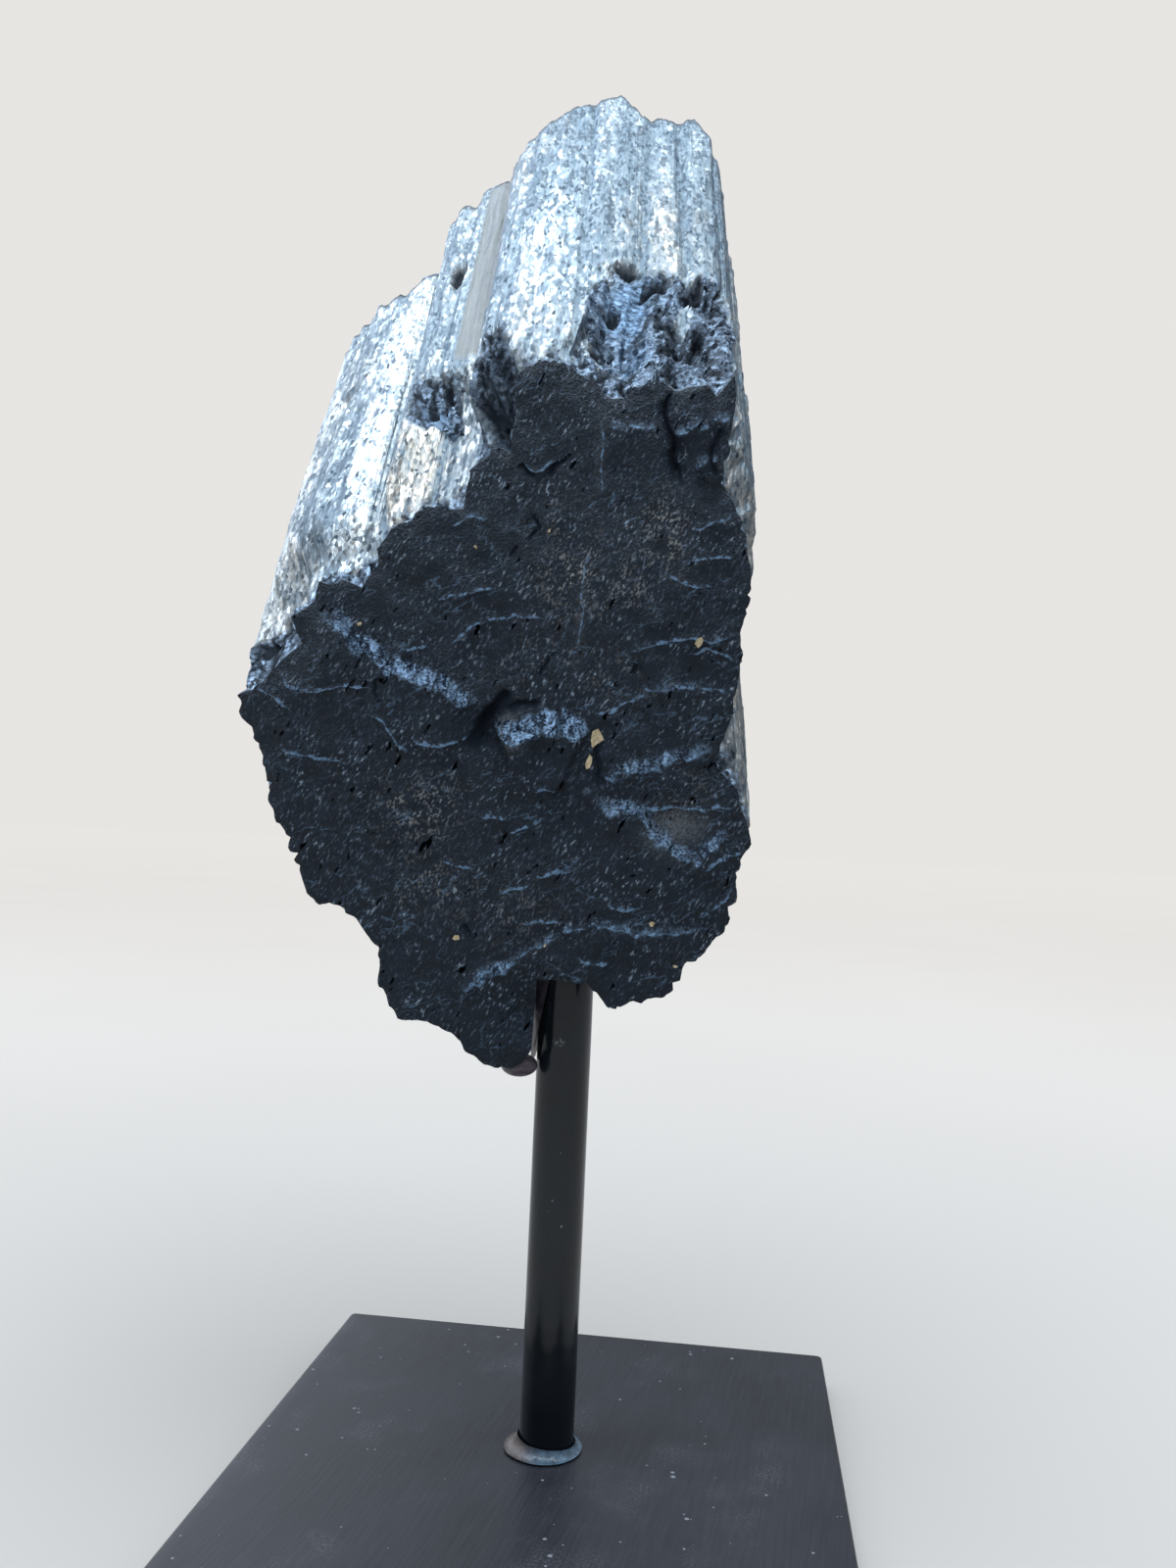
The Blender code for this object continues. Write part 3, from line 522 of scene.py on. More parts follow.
# Narrow cracks: points (u, v), depth and half width.
CRACKS = [
    ([(14.3, 190), (14, 185), (15.3, 180.5), (15.2, 176.5), (17, 172)], 1.6, 0.5),
    ([(-11.4, 177.2), (-9.5, 175.4), (-8.2, 175.2)], 1.2, 0.4),
    ([(-6.2, 174.6), (-5.3, 176.2), (-2.3, 178.6)], 1.2, 0.35),
    ([(-8.5, 168), (-7.4, 165.5), (-9, 163.6)], 0.9, 0.3),
    ([(-11.5, 137), (-13.6, 133.5), (-15.4, 129.5), (-17, 126)], 2.6, 1.0),
    ([(-14, 133.2), (-10, 134.3), (-5.5, 134.4)], 1.2, 0.5),
    ([(-6, 139.5), (-4.6, 142.4), (-3.8, 144)], 0.8, 0.3),
    ([(4.6, 129), (4.4, 124.5), (5.4, 120.5)], 0.9, 0.35),
    ([(-34, 141.5), (-35, 138), (-33.6, 136)], 0.7, 0.3),
    ([(9.5, 139.5), (11, 142)], 0.7, 0.3),
    ([(23.5, 184), (22, 179.5), (22.6, 175)], 1.0, 0.4),
    ([(-12, 160.5), (-10.4, 163)], 0.7, 0.3),
    ([(-17, 97), (-15.6, 94.5)], 0.7, 0.35),
]
# Scratches: points (u, v).
SCRATCHES = [
    [(2.2, 186), (2.8, 181), (2.6, 177), (3.2, 171.5)],
    [(1.4, 162), (0.9, 157), (0.7, 151), (0.0, 144)],
]
LEDGE_WIDTH = 0.35
FINE_LEDGE_FADE = 2.4
print(len(LEDGES), "ledges,", len(FINE_LEDGES), "thin ledges,", len(GROOVES), "grooves")

# %% [markdown]
# ## Noise worked out in whole arrays
# A broken crystal is rough at every size. Blender's textures could displace a mesh, but then nothing
# else in the script could ask how high a place is. So the noise is a plain formula, and every surface,
# every ledge and every flake of mica reads the same one. Wherever a noise has a name below, the name
# stands for its size in millimetres, its seed and its number of layers.

# %% Noise
SCATTER_I, SCATTER_J, SCATTER_SEED, SCATTER_SIZE = 127.1, 311.7, 74.7, 43758.5453
LAYER_RATIO, LAYER_TURN, LAYER_FIRST_TURN, LAYER_SUM = 2.03, 0.9, 0.5, 1.6
CELL_MARGIN = 0.1
ROUGH_TURNS = (0.3, 1.4, 2.3)
ROUGH_BEND, ROUGH_BEND_WAVE, ROUGH_WAVE, ROUGH_SUM = 2.1, 3.9, 6.3, 1.75


def scattered(i, j, seed):
    """A repeatable number from 0 to 1 for each whole-number place: the fraction of a large sine."""
    wave = np.sin(i * SCATTER_I + j * SCATTER_J + seed * SCATTER_SEED) * SCATTER_SIZE
    return wave - np.floor(wave)


def value_noise(x, y, seed):
    """Noise from -1 to 1: a scattered number at each whole-number place, with smooth steps between."""
    i, j = np.floor(x), np.floor(y)
    across, upward = smooth_step(x - i), smooth_step(y - j)
    low = scattered(i, j, seed) * (1 - across) + scattered(i + 1, j, seed) * across
    high = scattered(i, j + 1, seed) * (1 - across) + scattered(i + 1, j + 1, seed) * across
    return 2.0 * (low + upward * (high - low)) - 1.0


def layered_noise(x, y, size, seed, layers=4):
    """The sum of noises, each half as high and about half as long as the one before, and turned."""
    total = np.zeros(np.shape(x))
    for layer in range(layers):
        reach = LAYER_RATIO ** layer / size
        turn = LAYER_FIRST_TURN + LAYER_TURN * layer
        a = (x * math.cos(turn) - y * math.sin(turn)) * reach
        b = (x * math.sin(turn) + y * math.cos(turn)) * reach
        total = total + value_noise(a, b, seed + layer) / 2.0 ** layer
    return total / LAYER_SUM


def stretched_noise(x, y, width, length, seed):
    """Noise whose hills have a width along x and a length along y."""
    return value_noise(x / width, y / length, seed)


def cell_pattern(x, y, width, length, seed):
    """One shifted seed in each cell of a width and a length, and for each place the nearest of them.

    The result is that seed's own level, and a height that leans across its cell.
    """
    x, y = x / width, y / length
    nearest = np.full(np.shape(x), np.inf)
    level, leaning = np.zeros(np.shape(x)), np.zeros(np.shape(x))
    for step_i in (-1, 0, 1):
        for step_j in (-1, 0, 1):
            i, j = np.floor(x) + step_i, np.floor(y) + step_j
            off_x = x - (i + CELL_MARGIN + (1 - 2 * CELL_MARGIN) * scattered(i, j, seed))
            off_y = y - (j + CELL_MARGIN + (1 - 2 * CELL_MARGIN) * scattered(i, j, seed + 1))
            distance = np.hypot(off_x, off_y)
            closer = distance < nearest
            own = scattered(i, j, seed + 2)
            lean = off_x * (scattered(i, j, seed + 3) - 0.5)
            lean = lean + off_y * (scattered(i, j, seed + 4) - 0.5)
            level = np.where(closer, own, level)
            leaning = np.where(closer, own + lean, leaning)
            nearest = np.minimum(nearest, distance)
    return level, leaning


def rough(u, v, size):
    """The solids' own roughness: a sum of crossed waves of falling length, between about -1 and 1."""
    total = 0.0
    for octave, turn in enumerate(ROUGH_TURNS):
        reach = 2.0 ** octave / size
        along = u * math.cos(turn) + v * math.sin(turn)
        across = v * math.cos(turn) - u * math.sin(turn)
        bend = ROUGH_BEND * np.sin(ROUGH_BEND_WAVE * reach * across + turn)
        total = total + np.sin(ROUGH_WAVE * reach * along + bend) / 2.0 ** octave
    return total / ROUGH_SUM


sample = np.linspace(0.0, 50.0, 4000)
sample = layered_noise(sample, sample, 3.0, 1)
print("noise runs from", sample.min().round(2), "to", sample.max().round(2))

# %% [markdown]
# ## The front break
# Black tourmaline breaks like thick glass: broad shells, shallow terraces and ragged ledges where the
# break jumped from column to column. Each ledge is a line with the stone under it standing proud. The
# lines are pushed about by noise before they are used, so that they come out ragged.

# %% Height of the front break
FACE_ROUGHNESS, FACE_ROUGH_SIZE = 0.35, 14.0
PUSH_COARSE, PUSH_COARSE_U, PUSH_COARSE_V = 0.9, (6.0, 11, 2), (6.0, 15, 2)
PUSH_FINE, PUSH_FINE_U, PUSH_FINE_V = 0.35, (1.8, 19, 2), (1.8, 23, 2)
PUSH_BLOCK, PUSH_CELLS = 1.5, (2.0, 5.0, 27)
PULL_STEPS = 6
SHELL_HEIGHT, SHELL_NOISE = 0.35, (6.5, 31, 3)
TERRACE_HEIGHT, TERRACE_NOISE, TERRACE_COUNT = 0.32, (24.0, 41, 2), 7.0
TERRACE_RISER, TERRACE_SQUEEZE = 0.12, 1.6
TERRACE_AREAS, TERRACE_AREAS_GAIN, TERRACE_AREAS_BASE = (17.0, 47, 2), 1.5, 0.35
FRACTURE_HEIGHT, FRACTURE_NOISE = 0.22, (2.0, 53, 2)
# How fast a ledge rises from nothing at the two ends of its line, as a share of the line.
WINDOW_SLOPE = 6.0


def pushed(u, v, blocky):
    """The place moved by coarse and fine noise, and if blocky also by blocks as wide as a thin column."""
    push_u = PUSH_COARSE * layered_noise(u, v, *PUSH_COARSE_U)
    push_v = PUSH_COARSE * layered_noise(u, v, *PUSH_COARSE_V)
    push_u = push_u + PUSH_FINE * layered_noise(u, v, *PUSH_FINE_U)
    push_v = push_v + PUSH_FINE * layered_noise(u, v, *PUSH_FINE_V)
    block, _ = cell_pattern(u, v, *PUSH_CELLS)
    push_v = push_v + PUSH_BLOCK * blocky * (block - 0.5)
    return u + push_u, v + push_v


def pulled_back(u, v, blocky):
    """The place that the noise moves onto u, v: the shift found there is taken off, a few times over."""
    near_u, near_v = u, v
    for _ in range(PULL_STEPS):
        moved_u, moved_v = pushed(near_u, near_v, blocky)
        near_u, near_v = near_u + u - moved_u, near_v + v - moved_v
    return near_u, near_v


def along_line(line):
    """A line's points as an array, and how far along the line each of them lies."""
    line = np.array(line, float)
    steps = np.linalg.norm(np.diff(line, axis=0), axis=1)
    return line, np.concatenate([[0.0], np.cumsum(steps)])


def beside_line(u, v, line):
    """For each place, how far above a line it lies, and a window that closes at the line's ends."""
    line, starts = along_line(line)
    nearest = np.full(u.shape, np.inf)
    above, window = np.zeros(u.shape), np.zeros(u.shape)
    for a, b, start in zip(line[:-1], line[1:], starts):
        length = np.linalg.norm(b - a)
        way = (b - a) / length
        along = np.clip((u - a[0]) * way[0] + (v - a[1]) * way[1], 0.0, length)
        off_u = u - a[0] - along * way[0]
        off_v = v - a[1] - along * way[1]
        distance = np.hypot(off_u, off_v)
        place = (start + along) / starts[-1]
        closer = distance < nearest
        side = np.where(off_v * way[0] - off_u * way[1] > 0, distance, -distance)
        above = np.where(closer, side, above)
        ends = smooth_step(WINDOW_SLOPE * place) * smooth_step(WINDOW_SLOPE * (1.0 - place))
        window = np.where(closer, ends, window)
        nearest = np.minimum(distance, nearest)
    return above, window


def ledge_height(u, v, line, rise, fade):
    """Under the line the face stands proud by rise and falls back over the distance fade."""
    above, window = beside_line(u, v, line)
    proud = (1.0 - smooth_step(above / LEDGE_WIDTH)) * np.exp(np.minimum(above, 0.0) / fade)
    proud = proud * np.exp(-(np.maximum(-above, 0.0) / (2.0 * fade)) ** 2)
    return -rise * window * proud


def crack_depth(u, v):
    """How deep the narrow cracks are at each place."""
    depth = np.zeros(np.shape(u))
    for line, deep, half_width in CRACKS:
        above, window = beside_line(u, v, line)
        depth = np.maximum(depth, deep * window * np.exp(-(above / half_width) ** 2))
    return depth


def terraces(x):
    """A staircase less its own slope: flat treads with a short riser at each whole number."""
    whole = np.floor(x)
    return whole + smooth_step((x - whole) / TERRACE_RISER) - 0.5 - x


def soft_patch(x, y, row):
    """A round patch that fades as a bell does: x, y, half width, half height and strength of its middle."""
    middle_x, middle_y, half_width, half_height, strength = row
    away = ((x - middle_x) / half_width) ** 2 + ((y - middle_y) / half_height) ** 2
    return strength * np.exp(-away)


def face_height(u, v):
    """k of the front break: ledges, swellings, shells, terraces and fine fracture, added up."""
    block_u, block_v = pushed(u, v, 1.0)
    ragged_u, ragged_v = pushed(u, v, 0.0)
    height = FACE_ROUGHNESS * rough(u, v, FACE_ROUGH_SIZE) + crack_depth(ragged_u, ragged_v)
    for line, rise, fade in LEDGES:
        height = height + ledge_height(block_u, block_v, line, rise, fade)
    for line, rise in FINE_LEDGES:
        height = height + ledge_height(ragged_u, ragged_v, line, rise, FINE_LEDGE_FADE)
    for row in SWELLINGS:
        height = height + soft_patch(u, v, row)
    height = height + SHELL_HEIGHT * np.abs(layered_noise(u, v, *SHELL_NOISE))
    steps = TERRACE_COUNT * layered_noise(ragged_u, TERRACE_SQUEEZE * ragged_v, *TERRACE_NOISE)
    areas = smooth_step(TERRACE_AREAS_GAIN * layered_noise(u, v, *TERRACE_AREAS) + TERRACE_AREAS_BASE)
    height = height + TERRACE_HEIGHT * areas * terraces(steps)
    return height + FRACTURE_HEIGHT * layered_noise(u, v, *FRACTURE_NOISE)


print("a place moves by up to", round(PUSH_COARSE + PUSH_FINE, 2), "mm")

# %% [markdown]
# ## The walls
# The prism faces of tourmaline are striated: narrow ribs with sharp grooves between them, all along the
# column. On the grid of the wall one parameter runs round the outline and the other along the columns,
# so a rib is noise that is short in the first and very long in the second. Near the front break the
# columns have lost blocks, and there the relief is a pattern of small cells instead.

# %% Relief of the walls
# Waves of the ribs: height and turn per millimetre. They reach their full height at k = RIBS_FULL.
RIBS = ((0.20, 1.31), (0.12, 2.17))
RIBS_FULL = 8.0
# Strands: height, width, how many widths long, seed. Flakes: height, width, length, seed.
STRANDS = ((0.42, 3.4, 16.0, 61), (0.26, 1.7, 22.0, 67), (0.16, 1.0, 30.0, 71))
FLAKES_ON_WALL = ((0.32, 3.1, 17.0, 75), (0.24, 1.7, 5.0, 78))
# Blocks and crumbs of the broken wall: depth, and width, length and seed of their cells.
BLOCK_DEPTH, BLOCKS = 1.9, (2.3, 3.6, 81)
CRUMB_DEPTH, CRUMBS = 0.8, (1.15, 1.8, 87)
SLATE_LEVEL = 0.45
SUNK_LEVEL, SUNK_BLEND, SUNK_CRUMB = 0.95, 0.12, 0.5
PIT_EDGE, PIT_BLEND, PIT_RAGGED, PIT_NOISE = 0.7, 0.3, 0.35, (0.9, 1.6, 93)
# Painted shade in the grooves: how strong, and how narrow against the groove.
GROOVE_SHADE, GROOVE_SHADE_WIDTH = 1.3, 0.45
CHIP_NEAR_SLOPE = 6.0
CHIP_FAR_SLOPE = 2.0
# Small deep pits, cut in and painted black and matt as shade: place round the outline, k, half width, half
# length, depth.
PITS = [
    (105, 26.5, 1.8, 2.4, 2.2), (103, 14.5, 1.9, 3.0, 2.2),
    (120, 31.5, 2.0, 2.6, 2.0), (126.5, 31, 1.3, 4.5, 1.8),
    (122.5, 19, 1.5, 2.6, 2.0), (106.5, 35.8, 3.6, 1.5, 2.6),
    (113, 32.0, 3.2, 1.4, 2.4), (52.4, 32.5, 1.3, 2.4, 1.8),
    (67.8, 11.5, 2.0, 3.0, 2.6), (54.3, 80, 2.0, 6.0, 2.2),
    (74, 6, 2.6, 4.0, 1.4), (80, 14, 2.0, 3.0, 1.2),
]


def corner_place(corner):
    """The distance along the section outline of its point nearest to a corner."""
    edges = np.roll(SECTION, -1, axis=0) - SECTION
    steps = np.linalg.norm(edges, axis=1)
    share = ((np.array(corner) - SECTION) * edges).sum(axis=1) / steps ** 2
    share = np.clip(share, 0.0, 1.0)
    nearest = SECTION + share[:, None] * edges
    best = np.linalg.norm(nearest - np.array(corner), axis=1).argmin()
    return steps[:best].sum() + share[best] * steps[best]


def off_corner(place, corner, length):
    """How far each place is from a corner along the closed outline, taken the short way round."""
    distance = place - corner_place(corner)
    return (distance + length / 2) % length - length / 2


def coarse_relief(place, k, length):
    """Two waves of ribs, less the grooves and the chips that the solids have."""
    relief = sum(height * np.sin(turn * place + height * k / RIBS_FULL) for height, turn in RIBS)
    for corner, depth, half_width in GROOVES:
        off = off_corner(place, corner, length) / half_width
        relief = relief - depth * np.exp(-off ** 2)
    relief = relief * smooth_step(k / RIBS_FULL)
    for corner, half_width, near, far, depth in WALL_CHIPS:
        off = off_corner(place, corner, length) / half_width
        within = np.exp(-off ** 4) * step_after(k, near, CHIP_NEAR_SLOPE)
        within = within * (1.0 - step_after(k, far, CHIP_FAR_SLOPE))
        relief = relief - depth * within
    return relief


def groove_shade(place, k, length):
    """How much painted shade darkens the bottoms of the grooves."""
    shade = np.zeros(np.shape(k))
    for corner, depth, half_width in GROOVES:
        off = off_corner(place, corner, length) / (GROOVE_SHADE_WIDTH * half_width)
        shade = shade + GROOVE_SHADE * depth * np.exp(-off ** 2)
    return shade * smooth_step(k / RIBS_FULL)


def pit_mask(place, k):
    """How far inside a pit each place of the wall is, and how deep it lies there."""
    mask, depth = np.zeros(np.shape(k)), np.zeros(np.shape(k))
    ragged = PIT_RAGGED * stretched_noise(place, k, *PIT_NOISE)
    for middle, middle_k, half_width, half_length, deep in PITS:
        away = np.abs((place - middle) / half_width) ** 2 + np.abs((k - middle_k) / half_length) ** 2
        within = 1.0 - step_after(away + ragged, PIT_EDGE, PIT_BLEND)
        mask, depth = np.maximum(mask, within), np.maximum(depth, deep * within)
    return mask, depth


def fine_relief(place, k, broken, slate):
    """Ribs and long flakes where the wall is whole, blocks where it is broken, and the deepest blocks, which
    are painted dark as shade.
    """
    ribs = 0.0
    for height, width, lengthening, seed in STRANDS:
        strand = np.abs(stretched_noise(place, k, width, width * lengthening, seed))
        ribs = ribs + height * (strand - 0.5)
    for height, width, length, seed in FLAKES_ON_WALL:
        level, _ = cell_pattern(place, k, width, length, seed)
        ribs = ribs + height * (level - 0.5)
    block, block_lean = cell_pattern(place, k, *BLOCKS)
    crumb, crumb_lean = cell_pattern(place, k, *CRUMBS)
    blocks = -BLOCK_DEPTH * block_lean - CRUMB_DEPTH * crumb_lean + 0.5 * CRUMB_DEPTH
    blocks = blocks + slate * (-SLATE_LEVEL * BLOCK_DEPTH - blocks)
    sunk_shade = step_after(block + SUNK_CRUMB * crumb, SUNK_LEVEL, SUNK_BLEND) * broken * (1.0 - slate)
    return ribs * (1.0 - broken) + blocks * broken, sunk_shade


print(len(STRANDS), "layers of ribs over", len(RIBS), "waves")

# %% [markdown]
# ## Rings of the wall
# The wall is a grid. Its columns are places round the outline, closer together where the walls face the
# viewer. Its rows are rings, close together near the break and further apart behind. Row 0 is the rim
# of the front break and the last row is the rim of the back.

# %% Rings
CHIP_START = 0.45
TEETH_DEPTH = 4.0
WORN_ABOVE, WORN_BLEND, WORN_REACH = 140.0, 20.0, 12
END_ROUGHNESS, END_ROUGH_SIZE = 0.8, 6.0
END_JAGS, END_JAG_NOISE = 0.7, (2.6, 91, 2)
# Teeth of the front rim: height, width, seed. Their tops are cut off flat, and they fade behind the rim.
RIM_JAGS = ((1.5, 3.1, 101), (0.8, 1.3, 105))
JAG_LEVEL, JAG_FLAT = 0.32, 0.55
JAG_FADE, JAG_LENGTH = 6.0, 5.0
JAG_BEND, JAG_BEND_WIDTH, JAG_BEND_LENGTH = 0.8, 2.0, 4.0
# How strong the teeth are from place to place: a middle, noise added to it, and the limits of both.
JAG_STRENGTH, JAG_VARIES, JAG_LIMITS, JAG_NOISE = 0.70, 0.8, (0.15, 1.3), (7.0, 9.0, 113)
RIM_DROP, RIM_DROP_REACH = 0.9, 0.9
RIM_DROP_MEAN, RIM_DROP_VARIES, RIM_DROP_NOISE = 0.55, 0.45, (3.0, 103, 2)
NEAR_SPACING, FAR_SPACING = 0.45, 0.58
NEAR_ROWS, FAR_ROWS, NEAR_SHARE, NEAR_CROWDING = 52, 40, 0.38, 1.15
FRINGE_DEPTH, FRINGE_BLEND = 2.4, 3.5
FRINGE_VARIES, FRINGE_NOISE = 0.9, (4.0, 107, 2)
SETTLE_DEPTH = 1.5
NORMAL_REACHES = (2, 4, 6)
LOST_EDGE, LOST_BLEND, LOST_RAGGED, LOST_NOISE = 0.75, 0.35, 0.5, (5.0, 109, 3)
KEPT_EDGE, KEPT_BLEND, KEPT_BLOCKS = 0.5, 0.15, 0.6


def divided(rows, near_rows):
    """The outline's rows with even rows between them, closer together on the first near_rows edges."""
    parts = []
    for index, (row, following) in enumerate(zip(rows, np.roll(rows, -1, axis=0))):
        spacing = NEAR_SPACING if index < near_rows else FAR_SPACING
        pieces = max(1, round(np.linalg.norm(following[2:4] - row[2:4]) / spacing))
        share = np.arange(pieces)[:, None] / pieces
        parts.append(row + share * (following - row))
    return np.concatenate(parts)


def outward(outline):
    """The outward direction at each corner of a clockwise outline, averaged over a few corners."""
    along = 0.0
    for reach in NORMAL_REACHES:
        along = along + np.roll(outline, -reach, axis=0) - np.roll(outline, reach, axis=0)
    normal = np.stack([-along[:, 1], along[:, 0]], axis=1)
    return normal / np.linalg.norm(normal, axis=1, keepdims=True)


# Painted highlight and painted shade on the walls, brighter and darker parts: place, k, half width, half
# length, tone from -1 to 1.
PAINTED_LIGHT_AND_SHADE = [
    (34, 25, 5, 40, 1.3), (36, 85, 5, 25, 1.0),
    (21, 26, 3.5, 24, -0.5), (127, 75, 4, 40, -0.8),
    (51, 13, 6, 16, 0.7), (76, 8, 7, 12, -0.9),
    (91, 50, 7, 32, 1.3), (96, 28, 5, 14, 0.4),
    (150, 40, 22, 50, -0.3), (8, 60, 9, 60, 1.7),
    (29, 60, 9, 50, 0.7), (106, 88, 9, 16, -0.35),
    (113, 60, 10, 18, -0.1), (78, 72, 1.4, 16, 0.8),
]
# Warmer parts of the walls, in the same form: partly the walls' own beige, and on the right walls a painted
# brown reflection.
WARM_AND_REFLECTED = [
    (51, 14, 9, 16, 1.4), (40, 8, 5, 8, 0.5),
    (112, 52, 9, 16, 0.8), (84, 96, 8, 16, 0.5),
    (90, 16, 7, 7, 0.5), (22, 70, 6, 18, 0.5),
    (150, 40, 22, 50, 1.0), (195, 40, 22, 50, 1.0),
    (12, 45, 6, 35, 0.6),
]
# Parts of the walls that have lost blocks: place, k, half width, half length.
LOST = [
    (115.0, 15, 16.5, 20.0), (74.5, 7, 10.5, 14.0),
    (54.0, 32, 5.5, 6.0), (8.0, 5, 8.5, 7.0),
]
# Fragments of whole wall that are left in them.
KEPT = [
    (102.3, 12.5, 2.6, 5.5, 1.2), (118.6, 25.5, 1.8, 4.5, 1.0),
    (70.5, 9.5, 1.3, 4.0, 1.2), (112.5, 5.5, 2.0, 2.5, 0.7),
]
# Hollows in them where the break is smooth; their slate blue is a painted reflection of the sky.
SLATE = [
    (107.6, 28.5, 4.6, 6.5, 1.4), (53.0, 31.0, 3.0, 3.0, 0.8),
    (110.5, 14.0, 2.8, 4.0, 0.7),
]
# Parts of them that lie in the dark, painted as shade: their crumbs are darker and matt.
SHADED_ZONES = [
    (75.0, 5, 8.0, 10.0, 1.0), (122.0, 13, 5.0, 8.0, 0.55),
    (104.0, 20, 2.4, 3.0, 0.7), (125.0, 29, 3.5, 6.0, 0.7),
    (112.0, 35, 6.0, 2.0, 0.6), (83.0, 12, 2.0, 9.0, 0.7),
]
# The one smooth column: its left and right borders, where it starts, and how softly it ends there.
BAND_LEFT, BAND_RIGHT, BAND_START = 57.5, 75.5, 40.0
BAND_SIDE_BLEND, BAND_END_BLEND = 1.0, 3.0


def rim_drop(place):
    """How far the rim of the front break is worn back at each place round the outline."""
    return RIM_DROP * (RIM_DROP_MEAN + RIM_DROP_VARIES * layered_noise(place, place, *RIM_DROP_NOISE))


def patches(rows, place, k):
    """The sum of soft round patches, each with its own strength."""
    total = np.zeros(np.shape(k))
    for row in rows:
        total = total + soft_patch(place, k, row)
    return total


def lost_zones(place, k):
    """Where the columns have lost blocks: rounded boxes with a ragged edge."""
    mask = np.zeros(np.shape(k))
    ragged = LOST_RAGGED * layered_noise(place + 0 * k, k + 0 * place, *LOST_NOISE)
    for middle, middle_k, half_width, half_length in LOST:
        away = ((place - middle) / half_width) ** 4 + ((k - middle_k) / half_length) ** 4
        mask = np.maximum(mask, 1.0 - step_after(away + ragged, LOST_EDGE, LOST_BLEND))
    block, _ = cell_pattern(place, k, *BLOCKS)
    kept = patches(KEPT, place, k) + KEPT_BLOCKS * (block - 0.5)
    return mask * (1.0 - step_after(kept, KEPT_EDGE, KEPT_BLEND))


def smooth_band(place, k):
    """One column whose skin is smooth and beige: one between its two borders, from its near end on."""
    across = step_after(place, BAND_LEFT, BAND_SIDE_BLEND)
    across = across * (1.0 - step_after(place, BAND_RIGHT, BAND_SIDE_BLEND))
    return across * step_after(k, BAND_START, BAND_END_BLEND)


def worn_rim(rim):
    """The rim with its small teeth worn off above the level where the columns show."""
    shifts = range(-WORN_REACH, WORN_REACH + 1)
    mean = sum(np.roll(rim, shift, axis=0) for shift in shifts) / len(shifts)
    weight = step_after(rim[:, 1], WORN_ABOVE, WORN_BLEND)
    return rim + weight[:, None] * (mean - rim)


def with_rim_jags(relief, place, k, start):
    """The relief with the teeth of the rim: folded noise round the outline, flat on top, fading with k."""
    noise = stretched_noise(place, place, *JAG_NOISE)
    strength = np.clip(JAG_STRENGTH + JAG_VARIES * noise, *JAG_LIMITS)
    fade = np.exp(-np.maximum(k - start, 0.0) / JAG_FADE)
    for height, size, seed in RIM_JAGS:
        bend = stretched_noise(place, k, JAG_BEND_WIDTH * size, JAG_BEND_LENGTH * size, seed + 1)
        bent = place + JAG_BEND * size * bend
        swell = np.abs(stretched_noise(bent, k, size, JAG_LENGTH * size, seed))
        teeth = np.minimum(swell, JAG_FLAT) - JAG_LEVEL
        relief = relief + height * strength * teeth * fade
    return relief


def wall_grid():
    """The wall's points (u, v), their k, their marks and the wear of the rim: arrays of rings by places."""
    rows = divided(np.array(OUTLINE, float), len(LEFT_BUNDLE + MIDDLE_BUNDLE + MAIN_BUNDLE))
    rim, section, chip, reach = rows[:, 0:2], rows[:, 2:4], rows[:, 4], rows[:, 5]
    steps = np.linalg.norm(np.roll(section, -1, axis=0) - section, axis=1)
    place, length = np.concatenate([[0.0], np.cumsum(steps)[:-1]]), steps.sum()
    start = face_height(rim[:, 0], rim[:, 1]) + rim_drop(place)
    stop = reach + END_ROUGHNESS * rough(section[:, 0], section[:, 1], END_ROUGH_SIZE)
    stop = stop + END_JAGS * layered_noise(section[:, 0], section[:, 1], *END_JAG_NOISE)
    near = NEAR_SHARE * np.linspace(0.0, 1.0, NEAR_ROWS, endpoint=False) ** NEAR_CROWDING
    share = np.concatenate([near, np.linspace(NEAR_SHARE, 1.0, FAR_ROWS)])[:, None]
    k = start + share * (stop - start)
    whole = step_after(k / chip, CHIP_START, 1.0 - CHIP_START)
    sharp = 1.0 - step_after(k, start, TEETH_DEPTH)
    worn = worn_rim(rim)
    uv = worn + sharp[..., None] * (rim - worn) + whole[..., None] * (section - worn)
    fringe_depth = FRINGE_DEPTH * (1.0 + FRINGE_VARIES * layered_noise(place, place, *FRINGE_NOISE))
    fringe = 1.0 - step_after(k - start, fringe_depth, FRINGE_BLEND)
    broken = np.clip(np.maximum(fringe, lost_zones(place, k)), 0.0, 1.0)
    settle = step_after(k, start, SETTLE_DEPTH)
    relief = with_rim_jags(coarse_relief(place, k, length), place, k, start)
    pit, pit_depth = pit_mask(place, k)
    slate = np.minimum(1.0, patches(SLATE, place, k)) * broken
    fine, sunk_shade = fine_relief(place, k, broken, slate)
    relief = relief + settle * (fine - pit_depth)
    uv = uv + relief[..., None] * outward(section)
    marks = {
        "broken": broken,
        # Pits and sunk blocks: painted shade, black and matt in the stone's finish.
        "pit": settle * np.maximum(pit, sunk_shade),
        "slate": slate,
        # Zones painted dark as shade.
        "dark": np.minimum(1.0, patches(SHADED_ZONES, place, k)),
        # The tone mark: painted highlight and shade, less the painted shade of the grooves.
        "tone": patches(PAINTED_LIGHT_AND_SHADE, place, k) - groove_shade(place, k, length),
        "warm": patches(WARM_AND_REFLECTED, place, k),
        "smooth": smooth_band(place, k),
    }
    return uv, k, marks, rim_drop(place)


wall_uv, wall_k, wall_marks, front_drop = wall_grid()
print("wall grid", wall_k.shape, "k up to", wall_k.max().round(1), "mm")

# %% [markdown]
# ## The break behind
# The far ends of the columns broke off in steps. A leaning plane is cut into groups of columns that end
# at different heights, and near the rim it meets the ends of the wall.

